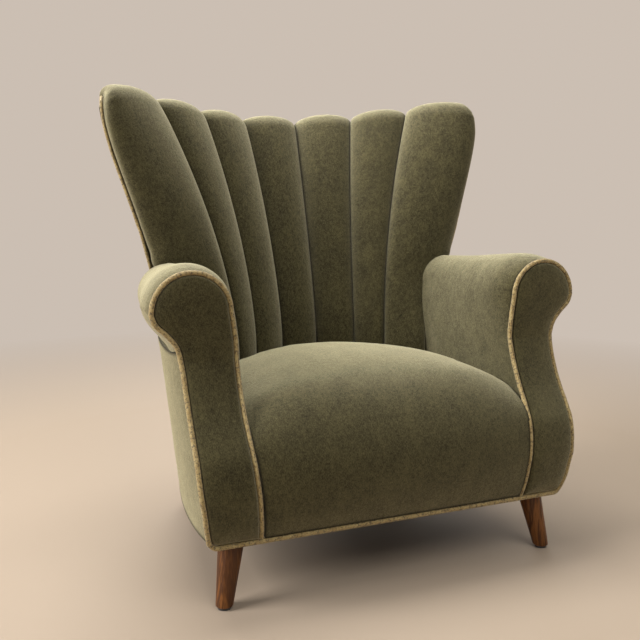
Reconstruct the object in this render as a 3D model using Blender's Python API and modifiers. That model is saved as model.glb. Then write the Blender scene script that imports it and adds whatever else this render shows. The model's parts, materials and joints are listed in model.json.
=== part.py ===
"""Channel-back reading chair: a sprung, upholstered armchair on four turned legs.

Metres, +Z up, the chair faces -Y. Every upholstered piece is a closed sheet between an
outer and an inner surface, and both surfaces come from the named sizes below.
"""
import math

import bmesh
import bpy
from mathutils import Matrix, Vector

# Clearances
GAP = 0.0003           # between pieces that touch
SEAM_GAP = 0.0006      # between two neighbouring back channels

# Heights of the whole chair
BASE_Z = 0.1225        # lower edge of the upholstery
FRAME_LIFT = 0.0031    # the frame's underside above that edge
ROLL_Z = 0.510         # centre of the rolled arm
SEAT_EDGE_Z = 0.352    # seat where it meets the arms
SEAT_CROWN = 0.050     # rise of the seat above its edges
SEAM_FOOT_Z = 0.380    # back channels begin to fan out and lean
BACK_TOP_Z = 0.912     # height of the back, where its fan is widest
BACK_FOOT_Z = 0.290    # lower end of the back channels, tucked behind the seat
CREST_VALLEY_DROP = 0.021   # from there to the top of the seams beside the middle channel
CREST_RISE = 0.017     # how much higher the outermost seams end
WING_EDGE_DROP = 0.027      # and to where the wing's edge turns over into the crest

# Rolled arm and its facing, half-widths measured from the middle of the chair
ROLL_X = 0.366
ROLL_R = 0.065
FOOT_IN_X = 0.276
FOOT_OUT_X = 0.359
NECK_IN_X = 0.293
NECK_OUT_X = 0.380
FACE_Y = -0.305        # front of the arm at roll height
FACE_BULGE = 0.092     # how far the lower front swells forward
FACING_T = 0.014
FACING_CROWN = 0.005
ARM_REAR_Y = 0.072
ARM_REAR_CLEAR = 0.020
ARM_TOE_IN = 0.038     # both arms draw in by this towards the back
ARM_PROUD = 0.018      # swell of the roll behind its facing
ARM_TAPER = 0.007      # the roll is slimmer by this at the back
ARM_PAD_T = 0.028
ARM_PAD_FOOT_Z = 0.290
HOOK_ANGLE = math.radians(-62)   # the roll's cover ends under the roll here

# Back: half-widths and depths of the seams between the channels
FAN_FOOT_X = 0.180
FAN_TOP_X = 0.317
FAN_FOOT_Y = 0.128
FAN_TOP_Y = 0.338
FAN_FOOT_DEPTH = 0.089
FAN_TOP_DEPTH = 0.141
SEAT_REAR_X = 0.262    # wing meets the arm at seat level
SEAT_REAR_Y = -0.010
WING_LOW_X = 0.362     # wing's edge where it rises above the arm
WING_LOW_Y = 0.056
WING_HALF = 0.441      # widest point of the wing's edge
WING_EDGE_Y = 0.100
CREST_R = 0.034        # radius of the crest's turn, seam to rear
EDGE_R = 0.022         # the same at the wing's edge
CREST_TURN = math.radians(166)
PAD_T = 0.020          # stuffing behind a seam
EDGE_T = 0.012         # stuffing behind the wing's edge
CROWN_SHARE = 0.25     # crown of a channel for its width
WING_CROWN_SHARE = 0.30
REAR_FOOT_Y = 0.210    # middle of the outside back at its foot
REAR_CORNER_X = 0.285
REAR_CORNER_Y = 0.170
PANEL_T = 0.008        # outside back and outside arms
SIDE_BULGE = 0.026

# Seat
SEAT_FRONT_CROWN = 0.012
SEAT_ROLL_H = 0.057    # height of the front edge's roll
SEAT_ROLL_RUN = 0.077  # and its depth
SEAT_SIDE_GAP = 0.001
SEAT_TUCK = 0.004      # the seat reaches this far behind the seams before it is trimmed

# Beech frame
RAIL_T = 0.025
RAIL_H = 0.110
FRAME_FRONT_Y = -0.365
FRAME_REAR_Y = 0.168
SIDE_RAIL_FRONT_X = 0.3325
SIDE_RAIL_REAR_X = 0.2575
SIDE_RAIL_REAR_Y = 0.155
STUMP_X = 0.333
STUMP_W = 0.030
STUMP_D = 0.040
ARM_RAIL_R = 0.030
ARM_RAIL_REAR_R = 0.014
ARM_RAIL_REAR_X = 0.318
ARM_RAIL_REAR_Y = 0.080
POST_W = 0.030
POST_D = 0.036
POST_FRONT_Y = 0.1065    # front of the back posts' feet
POST_BEND_Z = 0.300      # they turn from the feet to the lean of the back here
POST_DEPTH = 0.029       # front of a post behind the seams
POST_TOP_GAP = 0.0045    # under the curved crest rail
WING_POST_W = 0.019
WING_POST_DEPTH = 0.069  # deepest point of a wing post behind the wing
WING_POST_FOOT_BACK = 0.008
CREST_RAIL_T = 0.020
CREST_RAIL_H = 0.048
CREST_RAIL_END_SHARE = 0.97    # just beyond the outermost seam, line 1
CREST_RAIL_TOP = 0.004   # above the centre of the crest's turn
BLOCK_LEG = 0.060
BLOCK_T = 0.030
BLOCK_TAPER = 0.008      # the side rails run in by this over a block's length
TACK_RAIL_Z = 0.300
TACK_RAIL_H = 0.050
TACK_RAIL_T = 0.018
BURLAP_T = 0.002
BURLAP_GAP = 0.0014

# Suspension
SPRING_COUNT = 5
SPRING_PITCH = 0.100
SPRING_WIRE_R = 0.0018
SPRING_SWING = 0.024
SPRING_SQUARE_SHARE = 1.6    # how square the loops are
SPRING_LOOPS = 9
SPRING_ARCH = 0.030
SPRING_SEAT = 0.012    # length of a spring's end that lies on a rail
SPRING_STEPS = 4       # points of a half loop
BURLAP_HALF = 0.225
BURLAP_REAR_Y = 0.101
CORE_TOP_Z = 0.332     # edge of the core's crowned top
CORE_CROWN = 0.040
CORE_COVER_GAP = 0.003
CORE_HALF = 0.250
CORE_FRONT_Y = -0.325
CORE_REAR_Y = 0.080
DUST_T = 0.0015
DUST_INSET = 0.003

# Piping
PIPING_R = 0.0045
SIDE_PIPING_R = 0.0033
CORNER_R = 0.009       # lower outer corner of a facing
PANEL_TURN_SHARE = 0.93      # share of the outside back's height below its turn at the wings
PANEL_DROP = 0.005     # the outside back starts this far below the channels' rear ends

# Legs
LEG_TOP_R = 0.024
LEG_FOOT_R = 0.0155
LEG_FOOT_EDGE = 0.002
FRONT_LEG_X = 0.3145
FRONT_LEG_Y = -0.342
REAR_LEG_X = 0.240
REAR_LEG_Y = 0.140
LEG_SPLAY_X = 0.022
FRONT_LEG_RAKE = 0.021
REAR_LEG_RAKE = 0.045
PLATE_SIDE = 0.042
PLATE_T = 0.004
LEG_GAP = 0.0015       # the leg's top below the upholstery's lower edge
STUD_R = 0.004
STUD_BORE_R = 0.0043
STUD_DEPTH = 0.026
GLIDE_R = 0.0115
GLIDE_H = 0.004

# Shares of the sizes above, chosen by hand: (share of height, share of the swell or width)
FACE_SHARES = ((0, .82), (.077, .93), (.154, .98), (.218, 1), (.308, .95), (.385, .85), (.46, .66),
               (.54, .44), (.615, .27), (.69, .13), (.786, 0), (.8, 0), (1, 0))
OUTER_LOW_SHARES = ((0, 0), (.08, .33), (.15, .52), (.23, .76), (.38, .95), (.6, .96), (.7, 1), (1, 1))
OUTER_HIGH_SHARES = ((0, 0), (.7, 0), (.795, .06), (.86, .2), (.92, .55), (.96, .88), (1, 1))
INNER_LOW_SHARES = ((0, 0), (.15, .3), (.3, .65), (.46, .94), (.6, 1), (1, 1))
INNER_HIGH_SHARES = ((0, 0), (.8, 0), (.86, .12), (.92, .45), (1, 1))
PROUD_SHARES = ((0, .25), (.05, .7), (.15, 1), (.35, .8), (.6, .45), (1, .15))
SEAM_X_FOOT_SHARES = (1, .69, .245)
SEAM_X_TOP_SHARES = (1, .618, .22)
SEAM_Y_FOOT_SHARES = (1, .47, 0)
SEAM_Y_TOP_SHARES = (1, .5, 0)
SEAM_RISE_SHARES = (1, .35, 0)
EDGE_LOW_SHARES = ((0, 0, 0), (.23, 0, 0), (.5, .18, .45), (.7, .34, .73), (.86, .55, .85),
                   (.94, .75, .92), (1, 1, 1))
EDGE_HIGH_SHARES = ((0, 0, 0), (.125, .17, .09), (.29, .34, .18), (.49, .57, .36), (.69, .8, .59),
                    (.88, .957, .82), (1, 1, 1))
CORNER_SHARES = ((0, 0, 0), (.28, .25, .3), (.56, .52, .58), (.82, .82, .86), (1, 1, 1))
STATION_SHARES = (0, .12, .24, .34, .42, .46, .5, .56, .64, .74, .84, .93, 1)
EDGE_STATION = 7       # first station of the wing's edge above the arm
CROWN_SHARES = ((0, .8), (.3, .9), (.7, 1), (.8, .9), (.9, .45), (1, 0))
SEAT_ACROSS = (-1, -.93, -.82, -.65, -.45, -.22, 0, .22, .45, .65, .82, .93, 1)
CORE_PLAN_SHARES = ((0, 1), (.26, .988), (.48, .964), (.716, .9), (.867, .532), (1, .2))
SEAT_FRONT_STEPS = 5
SEAT_ROLL_STEPS = 4
SEAT_TOP_STEPS = 7
SEAT_LIFT_SHARES = ((0, 0), (.12, .1), (.3, .42), (.5, .8), (.7, 1), (.85, .97), (1, .8))
FACING_ACROSS = (0, .12, .35, .65, .88, 1)
ARM_STATIONS = (0, .04, .1, .2, .35, .5, .65, .8, .9, 1)
HOOK_STEPS = 10
CORNER_STEPS = 6
FAN_X_BEND_SHARE = 1.75
FAN_Y_BEND_SHARE = 1.4
REAR_BEND_SHARE = 1.6
REAR_ROUND_SHARE = 0.8
WING_POST_LOW_SHARES = ((.6, .149, 1), (.768, .039, .774))
WING_POST_HIGH_SHARES = ((.023, .474, .808), (.69, .588, .62), (.84, .605, .478))
CREST_STEPS = 6
CREST_PROBE_SHARE = 0.05     # share of a line over which its direction is taken
FACE_KNOTS = 14
CHANNEL_COLUMNS = 8
ROUND_SIDES = 20

EDGE_LOW_Z = ROLL_Z + ROLL_R + ARM_PROUD       # wing's edge clears the arm here
WING_EDGE_Z = BACK_TOP_Z - WING_EDGE_DROP
CREST_VALLEY_Z = BACK_TOP_Z - CREST_VALLEY_DROP
FRAME_Z = BASE_Z + FRAME_LIFT
RAIL_TOP_Z = FRAME_Z + RAIL_H
LEG_TOP_Z = BASE_Z - LEG_GAP

COLOURS = {
    "velvet": ((0.16, 0.155, 0.095, 1), 0.85, 0),
    "piping": ((0.50, 0.38, 0.17, 1), 0.5, 0.2),
    "beech": ((0.62, 0.46, 0.29, 1), 0.6, 0),
    "walnut": ((0.13, 0.06, 0.028, 1), 0.35, 0),
    "burlap": ((0.45, 0.35, 0.22, 1), 0.9, 0),
    "stuffing": ((0.72, 0.68, 0.6, 1), 0.9, 0),
    "steel": ((0.5, 0.5, 0.5, 1), 0.35, 1),
    "nylon": ((0.05, 0.05, 0.05, 1), 0.5, 0),
    "lining": ((0.03, 0.03, 0.03, 1), 0.9, 0),
}


def clear_scene():
    """Empty the scene without closing the file."""
    for thing in list(bpy.data.objects):
        bpy.data.objects.remove(thing, do_unlink=True)


def material(name):
    """The named finish, made once."""
    found = bpy.data.materials.get(name)
    if found:
        return found
    colour, roughness, metallic = COLOURS[name]
    made = bpy.data.materials.new(name)
    made.use_nodes = True
    shader = made.node_tree.nodes["Principled BSDF"]
    shader.inputs["Base Color"].default_value = colour
    shader.inputs["Roughness"].default_value = roughness
    shader.inputs["Metallic"].default_value = metallic
    return made


def add_object(name, mesh, finish, smooth=None):
    """Put a mesh in the chair's collection under a name and a finish."""
    made = bpy.data.objects.new(name, mesh)
    CHAIR.objects.link(made)
    made.parent = ORIGIN
    mesh.materials.clear()
    mesh.materials.append(material(finish))
    if smooth is not None:
        mesh.shade_smooth()
        mesh.set_sharp_from_angle(angle=math.radians(smooth))
    return made


def mesh_from_bmesh(name, work):
    """Close a bmesh into a mesh whose faces point out."""
    bmesh.ops.recalc_face_normals(work, faces=work.faces)
    if work.calc_volume(signed=True) < 0:
        bmesh.ops.reverse_faces(work, faces=work.faces)
    mesh = bpy.data.meshes.new(name)
    work.to_mesh(mesh)
    work.free()
    return mesh


def mix(a, b, t):
    """Value or vector between a and b."""
    return a + (b - a) * t


def clamp(t):
    """Keep a share between none and all."""
    return min(max(t, 0), 1)


def smooth_table(rows, t, column=1):
    """Smooth curve through a table of shares."""
    if t <= rows[0][0]:
        return rows[0][column]
    if t >= rows[-1][0]:
        return rows[-1][column]
    k = next(i for i in range(len(rows) - 1) if rows[i + 1][0] >= t)

    def slope(i):
        low, high = max(i - 1, 0), min(i + 1, len(rows) - 1)
        return (rows[high][column] - rows[low][column]) / (rows[high][0] - rows[low][0])

    width = rows[k + 1][0] - rows[k][0]
    s = (t - rows[k][0]) / width
    start, end = rows[k][column], rows[k + 1][column]
    return ((2 * s ** 3 - 3 * s ** 2 + 1) * start + (s ** 3 - 2 * s ** 2 + s) * width * slope(k)
            + (3 * s ** 2 - 2 * s ** 3) * end + (s ** 3 - s ** 2) * width * slope(k + 1))


def grid_normals(grid):
    """Unit normals of a grid of points, from its neighbours."""
    rows, columns = len(grid), len(grid[0])
    normals = []
    for i in range(rows):
        line = []
        for j in range(columns):
            along = grid[min(i + 1, rows - 1)][j] - grid[max(i - 1, 0)][j]
            across = grid[i][min(j + 1, columns - 1)] - grid[i][max(j - 1, 0)]
            line.append(along.cross(across).normalized())
        normals.append(line)
    return normals


def thick_sheet(name, outer, inner):
    """Closed mesh between two grids of points of the same size, its triangles mirrored about the middle."""
    work = bmesh.new()
    rows, columns = len(outer), len(outer[0])
    top = [[work.verts.new(p) for p in line] for line in outer]
    low = [[work.verts.new(p) for p in line] for line in inner]
    for i in range(rows - 1):
        for j in range(columns - 1):
            for side, turn in ((top, 1), (low, -1)):
                ring = (side[i][j], side[i + 1][j], side[i + 1][j + 1], side[i][j + 1])
                ring = ring if j < (columns - 1) / 2 else ring[1:] + ring[:1]
                work.faces.new((ring[0], ring[1], ring[2])[::turn])
                work.faces.new((ring[0], ring[2], ring[3])[::turn])
    for i in range(rows - 1):
        for j, turn in ((0, 1), (-1, -1)):
            work.faces.new((top[i + 1][j], top[i][j], low[i + 1][j])[::turn])
            work.faces.new((top[i][j], low[i][j], low[i + 1][j])[::turn])
    for j in range(columns - 1):
        work.faces.new((top[0][j], top[0][j + 1], low[0][j + 1], low[0][j]))
        work.faces.new((top[-1][j + 1], top[-1][j], low[-1][j], low[-1][j + 1]))
    return mesh_from_bmesh(name, work)


def loft(name, rings):
    """Closed mesh through rings of points, capped at both ends."""
    work = bmesh.new()
    loops = [[work.verts.new(p) for p in ring] for ring in rings]
    for low, high in zip(loops, loops[1:]):
        for i, vert in enumerate(low):
            after = (i + 1) % len(low)
            work.faces.new((vert, low[after], high[after], high[i]))
    work.faces.new(loops[0])
    work.faces.new(loops[-1])
    return mesh_from_bmesh(name, work)


def box(name, size, centre, finish):
    """Box of a size about a centre."""
    work = bmesh.new()
    bmesh.ops.create_cube(work, size=1)
    bmesh.ops.scale(work, vec=size, verts=work.verts)
    made = add_object(name, mesh_from_bmesh(name, work), finish)
    made.location = centre
    return made


def tube(name, points, radius, finish, resolution=2):
    """Round tube of one radius through points, with closed ends."""
    curve = bpy.data.curves.new(name, "CURVE")
    curve.dimensions = "3D"
    curve.bevel_depth = radius
    curve.bevel_resolution = resolution
    curve.use_fill_caps = True
    spline = curve.splines.new("POLY")
    spline.points.add(len(points) - 1)
    for target, point in zip(spline.points, points):
        target.co = (*point, 1)
    curve.materials.append(material(finish))
    made = bpy.data.objects.new(name, curve)
    CHAIR.objects.link(made)
    made.parent = ORIGIN
    return made


def turned(name, profile, finish, lean, top_z):
    """Turned piece from a profile of (radius, z), leaning out below top_z, with level ends."""
    mesh = bpy.data.meshes.new(name)
    mesh.from_pydata([(radius, 0, z) for radius, z in profile],
                     [(i, i + 1) for i in range(len(profile) - 1)], [])
    blank = bpy.data.objects.new(name + "_profile", mesh)
    CUTTERS.objects.link(blank)
    screw = blank.modifiers.new("turn", "SCREW")
    screw.steps = screw.render_steps = ROUND_SIDES
    screw.use_merge_vertices = True
    screw.merge_threshold = 0.0001
    screw.use_normal_calculate = True
    solid = bpy.data.meshes.new_from_object(blank.evaluated_get(bpy.context.evaluated_depsgraph_get()))
    bpy.data.objects.remove(blank, do_unlink=True)
    work = bmesh.new()
    work.from_mesh(solid)
    bmesh.ops.remove_doubles(work, verts=work.verts, dist=0.00005)
    solid = mesh_from_bmesh(name, work)
    slant = Matrix.Identity(4)
    slant[0][2], slant[1][2] = -lean[0], -lean[1]
    slant[0][3], slant[1][3] = lean[0] * top_z, lean[1] * top_z
    solid.transform(slant)
    return add_object(name, solid, finish, smooth=35)


def cut(target, cutter):
    """Take a cutter's shape out of a piece."""
    cutter.hide_render = True
    cutter.display_type = "WIRE"
    boolean = target.modifiers.new("cut", "BOOLEAN")
    boolean.operation = "DIFFERENCE"
    boolean.object = cutter


def add_cutter(name, mesh):
    """Put a mesh in the collection of cutters."""
    made = bpy.data.objects.new(name, mesh)
    CUTTERS.objects.link(made)
    made.parent = ORIGIN
    return made


# Shape of the arm

def arm_share(z):
    """Share of the height between the upholstery's lower edge and the roll's centre."""
    return (z - BASE_Z) / (ROLL_Z - BASE_Z)


def face_rows(low, high):
    """Heights at which every piece behind the front's curve has its rows."""
    knots = [mix(BASE_Z, ROLL_Z, i / FACE_KNOTS) for i in range(FACE_KNOTS + 1)]
    return [low] + [z for z in knots if low + GAP < z < high - GAP] + [high]


def face_y(z):
    """Front surface of the arm's facing, straight between two rows."""
    row = clamp(arm_share(z)) * FACE_KNOTS
    low = min(int(row), FACE_KNOTS - 1)
    swell = mix(smooth_table(FACE_SHARES, low / FACE_KNOTS),
                smooth_table(FACE_SHARES, (low + 1) / FACE_KNOTS), row - low)
    return FACE_Y - FACE_BULGE * swell


def facing_side_x(z):
    """Outer edge of the facing as if its lower corner were square."""
    if z >= ROLL_Z:
        return ROLL_X + math.sqrt(max(ROLL_R ** 2 - (z - ROLL_Z) ** 2, 0))
    h = arm_share(z)
    return (FOOT_OUT_X + (NECK_OUT_X - FOOT_OUT_X) * smooth_table(OUTER_LOW_SHARES, h)
            + (ROLL_X + ROLL_R - NECK_OUT_X) * smooth_table(OUTER_HIGH_SHARES, h))


def facing_outer_x(z):
    """Outer edge of the facing, with its rounded lower corner."""
    below = max(BASE_Z + CORNER_R - z, 0)
    return facing_side_x(z) - CORNER_R + math.sqrt(max(CORNER_R ** 2 - below ** 2, 0))


def facing_inner_x(z):
    """Inner edge of the facing."""
    if z >= ROLL_Z:
        return ROLL_X - math.sqrt(max(ROLL_R ** 2 - (z - ROLL_Z) ** 2, 0))
    h = arm_share(z)
    return (FOOT_IN_X + (NECK_IN_X - FOOT_IN_X) * smooth_table(INNER_LOW_SHARES, h)
            + (ROLL_X - ROLL_R - NECK_IN_X) * smooth_table(INNER_HIGH_SHARES, h))


def facing_heights():
    """Heights of the facing's rows, closer together at the corner and round the roll."""
    corner = [BASE_Z + CORNER_R * share for share in (.15, .5)]
    roll = [ROLL_Z + ROLL_R * math.sin(math.radians(a)) for a in (0, 18, 34, 48, 60, 71, 81)]
    return [BASE_Z] + corner + face_rows(BASE_Z + CORNER_R, ROLL_Z)[:-1] + roll


def make_facing(side, label):
    """Keyhole-shaped front of an arm, lightly padded."""
    outer, inner = [], []
    for z in facing_heights():
        low, high = facing_inner_x(z), facing_outer_x(z)
        line, back = [], []
        for u in FACING_ACROSS:
            x = side * mix(low, high, u)
            crown = FACING_CROWN * (1 - (2 * u - 1) ** 4)
            line.append(Vector((x, face_y(z) - crown, z)))
            back.append(Vector((x, face_y(z) + FACING_T, z)))
        outer.append(line)
        inner.append(back)
    name = f"arm_facing_{label}"
    add_object(name, thick_sheet(name, outer, inner), "velvet", smooth=50)


def offset_outline(points, distance):
    """Outline moved out by a distance, its straight pieces kept parallel."""
    moved = []
    for i, here in enumerate(points):
        before = (here - points[i - 1]).normalized() if i else (points[1] - here).normalized()
        after = (points[i + 1] - here).normalized() if i < len(points) - 1 else before
        normal = Vector((-before.y - after.y, before.x + after.x)).normalized()
        moved.append(here + normal * distance / max(normal.dot(Vector((-before.y, before.x))), 0.5))
    return moved


def make_facing_piping(side, label):
    """Cord round a facing, from the base up the inner edge, over the roll and down outside."""
    rows = facing_heights()
    outline = [Vector((facing_inner_x(z), z)) for z in rows]
    outline += [Vector((facing_outer_x(z), z)) for z in rows[::-1] if z > BASE_Z + CORNER_R + GAP]
    moved = offset_outline(outline, PIPING_R + GAP)
    points = []
    for x, z in moved:
        points.append(Vector((side * x, face_y(z) + FACING_T - PIPING_R - GAP, z)))
    points[0].z += GAP
    tube(f"facing_piping_{label}", points, PIPING_R, "piping")


def make_base_piping():
    """Cord along the lower edge of the front, turned up at both corners."""
    out = CORNER_R + PIPING_R + 2 * GAP
    right = []
    for i in range(CORNER_STEPS + 1):
        angle = math.pi / 2 * (1 - i / CORNER_STEPS)
        z = BASE_Z + CORNER_R - out * math.sin(angle)
        x = facing_side_x(max(z, BASE_Z)) - CORNER_R + out * math.cos(angle)
        right.append(Vector((x, face_y(z) + FACING_T - PIPING_R - GAP, z)))
    left = mirrored(right)
    tube("base_piping", left[::-1] + right, PIPING_R, "piping")


def arm_rail_at(y):
    """Half-width and radius of the round arm rail at a depth."""
    front = FACE_Y + FACING_T + GAP
    share = clamp((y - front) / (ARM_RAIL_REAR_Y - front))
    return mix(ROLL_X, ARM_RAIL_REAR_X, share), mix(ARM_RAIL_R, ARM_RAIL_REAR_R, share)


def roll_radius(share):
    """Radius of the arm's roll at a share of its length."""
    return ROLL_R + ARM_PROUD * smooth_table(PROUD_SHARES, share) - ARM_TAPER * share


def arm_section(share, side):
    """Outer and inner line of the arm's cover at a share of its length, inner foot to hook."""
    radius = roll_radius(share)
    shift = -ARM_TOE_IN * share
    outer, inner = [], []

    def depth(x, z):
        rear = ARM_REAR_Y
        if x > corner_line(z).x - PANEL_T - ARM_REAR_CLEAR:
            rear = min(rear, corner_line(z).y - 2 * PIPING_R - GAP)
        return mix(face_y(z) + FACING_T + GAP, rear, share)

    def place(x, z, line):
        line.append(Vector((side * x, depth(x, z), z)))

    for z in face_rows(ARM_PAD_FOOT_Z, ROLL_Z)[:-1]:
        rise = (z - ARM_PAD_FOOT_Z) / (ROLL_Z - ARM_PAD_FOOT_Z)
        place(facing_inner_x(z) + shift - (radius - ROLL_R) * rise ** 3, z, outer)
        back = min(facing_inner_x(z) + ARM_PAD_T + shift, STUMP_X - STUMP_W / 2 - GAP)
        place(back, z, inner)
    turn = math.pi - HOOK_ANGLE
    for i in range(HOOK_STEPS + 1):
        angle = math.pi - turn * i / HOOK_STEPS
        place(ROLL_X + shift + radius * math.cos(angle), ROLL_Z + radius * math.sin(angle), outer)
        x, z = ROLL_X + shift, ROLL_Z
        for _ in range(3):
            rail_x, rail_r = arm_rail_at(depth(x, z))
            clear = (rail_r + GAP) / math.cos(turn / HOOK_STEPS / 2)
            x, z = rail_x + clear * math.cos(angle), ROLL_Z + clear * math.sin(angle)
        place(x, z, inner)
    return outer, inner


def make_arm_cover(side, label, wing_cutter):
    """Inside of the arm and its roll, hooked over the arm rail."""
    sections = [arm_section(share, side) for share in ARM_STATIONS]
    name = f"arm_cover_{label}"
    mesh = thick_sheet(name, [s[0] for s in sections], [s[1] for s in sections])
    made = add_object(name, mesh, "velvet", smooth=50)
    cut(made, wing_cutter)


def make_arm_rail(side, label):
    """Round rail at the heart of the roll, from the facing to the wing post."""
    rings = []
    for y in (FACE_Y + FACING_T + GAP, ARM_RAIL_REAR_Y):
        x, radius = arm_rail_at(y)
        angles = [2 * math.pi * i / ROUND_SIDES for i in range(ROUND_SIDES)]
        rings.append([Vector((side * (x + radius * math.cos(a)), y, ROLL_Z + radius * math.sin(a)))
                      for a in angles])
    name = f"arm_rail_{label}"
    add_object(name, loft(name, rings), "beech", smooth=50)


def make_arm_stump(side, label):
    """Sawn front post of the arm, which follows the facing's curve."""
    rings = []
    low, high = STUMP_X - STUMP_W / 2, STUMP_X + STUMP_W / 2
    for z in face_rows(FRAME_Z, ROLL_Z - ARM_RAIL_R - GAP):
        front = face_y(z) + FACING_T + GAP
        plan = ((low, front), (high, front), (high, front + STUMP_D), (low, front + STUMP_D))
        rings.append([Vector((side * x, y, z)) for x, y in plan])
    name = f"arm_stump_{label}"
    add_object(name, loft(name, rings), "beech")


# Shape of the back: eight boundary lines, the wing edges and the six seams

def corner_line(z):
    """Edge between the outside arm and the outside back, up to the wing's edge."""
    h = clamp((z - BASE_Z) / (EDGE_LOW_Z - BASE_Z))
    return Vector((mix(REAR_CORNER_X, WING_LOW_X, smooth_table(CORNER_SHARES, h)),
                   mix(REAR_CORNER_Y, WING_LOW_Y, smooth_table(CORNER_SHARES, h, 2)), z))


def wing_edge(z):
    """Edge of the wing: along the arm, then up the outside."""
    if z <= EDGE_LOW_Z:
        h = clamp((z - BACK_FOOT_Z) / (EDGE_LOW_Z - BACK_FOOT_Z))
        return Vector((mix(SEAT_REAR_X, WING_LOW_X, smooth_table(EDGE_LOW_SHARES, h)),
                       mix(SEAT_REAR_Y, WING_LOW_Y, smooth_table(EDGE_LOW_SHARES, h, 2)), z))
    h = clamp((z - EDGE_LOW_Z) / (WING_EDGE_Z - EDGE_LOW_Z))
    return Vector((mix(WING_LOW_X, WING_HALF, smooth_table(EDGE_HIGH_SHARES, h)),
                   mix(WING_LOW_Y, WING_EDGE_Y, smooth_table(EDGE_HIGH_SHARES, h, 2)), z))


def seam(k, z):
    """Seam k of one side, 0 next to the wing and 2 beside the middle channel."""
    t = clamp((z - SEAM_FOOT_Z) / (BACK_TOP_Z - SEAM_FOOT_Z))
    x = mix(FAN_FOOT_X * SEAM_X_FOOT_SHARES[k], FAN_TOP_X * SEAM_X_TOP_SHARES[k], t ** FAN_X_BEND_SHARE)
    foot = FAN_FOOT_Y - FAN_FOOT_DEPTH * SEAM_Y_FOOT_SHARES[k]
    top = FAN_TOP_Y - FAN_TOP_DEPTH * SEAM_Y_TOP_SHARES[k]
    return Vector((x, mix(foot, top, t ** FAN_Y_BEND_SHARE), z))


def boundary(k, z):
    """Line k of one side at a height: 0 the wing's edge, 1 to 3 the seams."""
    return wing_edge(z) if k == 0 else seam(k - 1, z)


def crest_start(k):
    """Height at which line k starts to turn over the crest."""
    if k == 0:
        return WING_EDGE_Z
    valley = CREST_VALLEY_Z + CREST_RISE * SEAM_RISE_SHARES[k - 1]
    return valley - CREST_R * (1 - math.sin(math.radians(26)))


def rear_direction(k):
    """Level direction from line k to the rear, at the crest."""
    if k == 0:
        return Vector((-0.45, 0.89, 0)).normalized()
    here = boundary(k, crest_start(k))
    inward = boundary(k + 1, crest_start(k + 1)) if k < 3 else Vector((0, here.y, here.z))
    outward = boundary(k - 1, crest_start(k - 1))
    chord = (outward - here).normalized() + (here - inward).normalized()
    return Vector((-chord.y, chord.x, 0)).normalized()


def crest_turn(k):
    """Start of line k's turn over the crest, its two directions and its radius."""
    start = crest_start(k)
    point = boundary(k, start)
    along = (point - boundary(k, mix(start, BACK_FOOT_Z, CREST_PROBE_SHARE))).normalized()
    rear = rear_direction(k)
    turn = (rear - along * rear.dot(along)).normalized()
    return point, along, turn, EDGE_R if k == 0 else CREST_R


def crest_path(k):
    """Line k from its foot, up the front and over the crest."""
    points = [boundary(k, mix(BACK_FOOT_Z, crest_start(k), share)) for share in STATION_SHARES]
    start, along, turn, radius = crest_turn(k)
    for i in range(1, CREST_STEPS + 1):
        angle = CREST_TURN * i / CREST_STEPS
        points.append(start + radius * (math.sin(angle) * along + (1 - math.cos(angle)) * turn))
    return points


def mirrored(points):
    """The same points on the other side of the chair."""
    return [Vector((-p.x, p.y, p.z)) for p in points]


def back_lines():
    """All eight lines, from the wing edge at -X to the one at +X, with their normals to the front."""
    half = [crest_path(k) for k in range(4)]
    lines = [mirrored(path) for path in half] + half[::-1]
    normals = grid_normals(lines)
    facing = 1 if normals[3][2].y < 0 else -1
    return lines, [[n * facing for n in line] for line in normals]


def stuffing(line):
    """Thickness of the stuffing behind line 0 to 7."""
    return EDGE_T if line in (0, 7) else PAD_T


def channel_grids(channel, grow=0.0):
    """Outer and inner surface of a channel, 0 and 6 being the wings."""
    low, high = LINES[channel], LINES[channel + 1]
    low_n, high_n = NORMALS[channel], NORMALS[channel + 1]
    wing = channel in (0, 6)
    outer, inner = [], []
    stations = len(low)
    for s in range(stations):
        width = (high[s] - low[s]).length
        trim = (SEAM_GAP / 2 - grow) / width
        crown = width * (WING_CROWN_SHARE if wing else CROWN_SHARE)
        crown *= smooth_table(CROWN_SHARES, s / (stations - 1))
        line, back = [], []
        for i in range(CHANNEL_COLUMNS + 1):
            u = (1 - math.cos(math.pi * i / CHANNEL_COLUMNS)) / 2
            place = low[s].lerp(high[s], mix(trim, 1 - trim, u))
            normal = low_n[s].lerp(high_n[s], u).normalized()
            rise = crown * math.sqrt(max(1 - (2 * u - 1) ** 2, 0)) + grow
            line.append(place + normal * rise)
            back.append(place - normal * (mix(stuffing(channel), stuffing(channel + 1), u) + grow))
        outer.append(line)
        inner.append(back)
    return outer, inner


def make_channels():
    """Seven stuffed channels of the back, and a slightly larger copy of each that trims others."""
    names = ("wing_channel_left", "back_channel_1", "back_channel_2", "back_channel_3", "back_channel_4",
             "back_channel_5", "wing_channel_right")
    for channel, name in enumerate(names):
        add_object(name, thick_sheet(name, *channel_grids(channel)), "velvet", smooth=60)
    cutters = []
    for channel in range(len(names)):
        name = f"channel_clearance_{channel}"
        cutters.append(add_cutter(name, thick_sheet(name, *channel_grids(channel, grow=GAP))))
    return cutters


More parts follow.
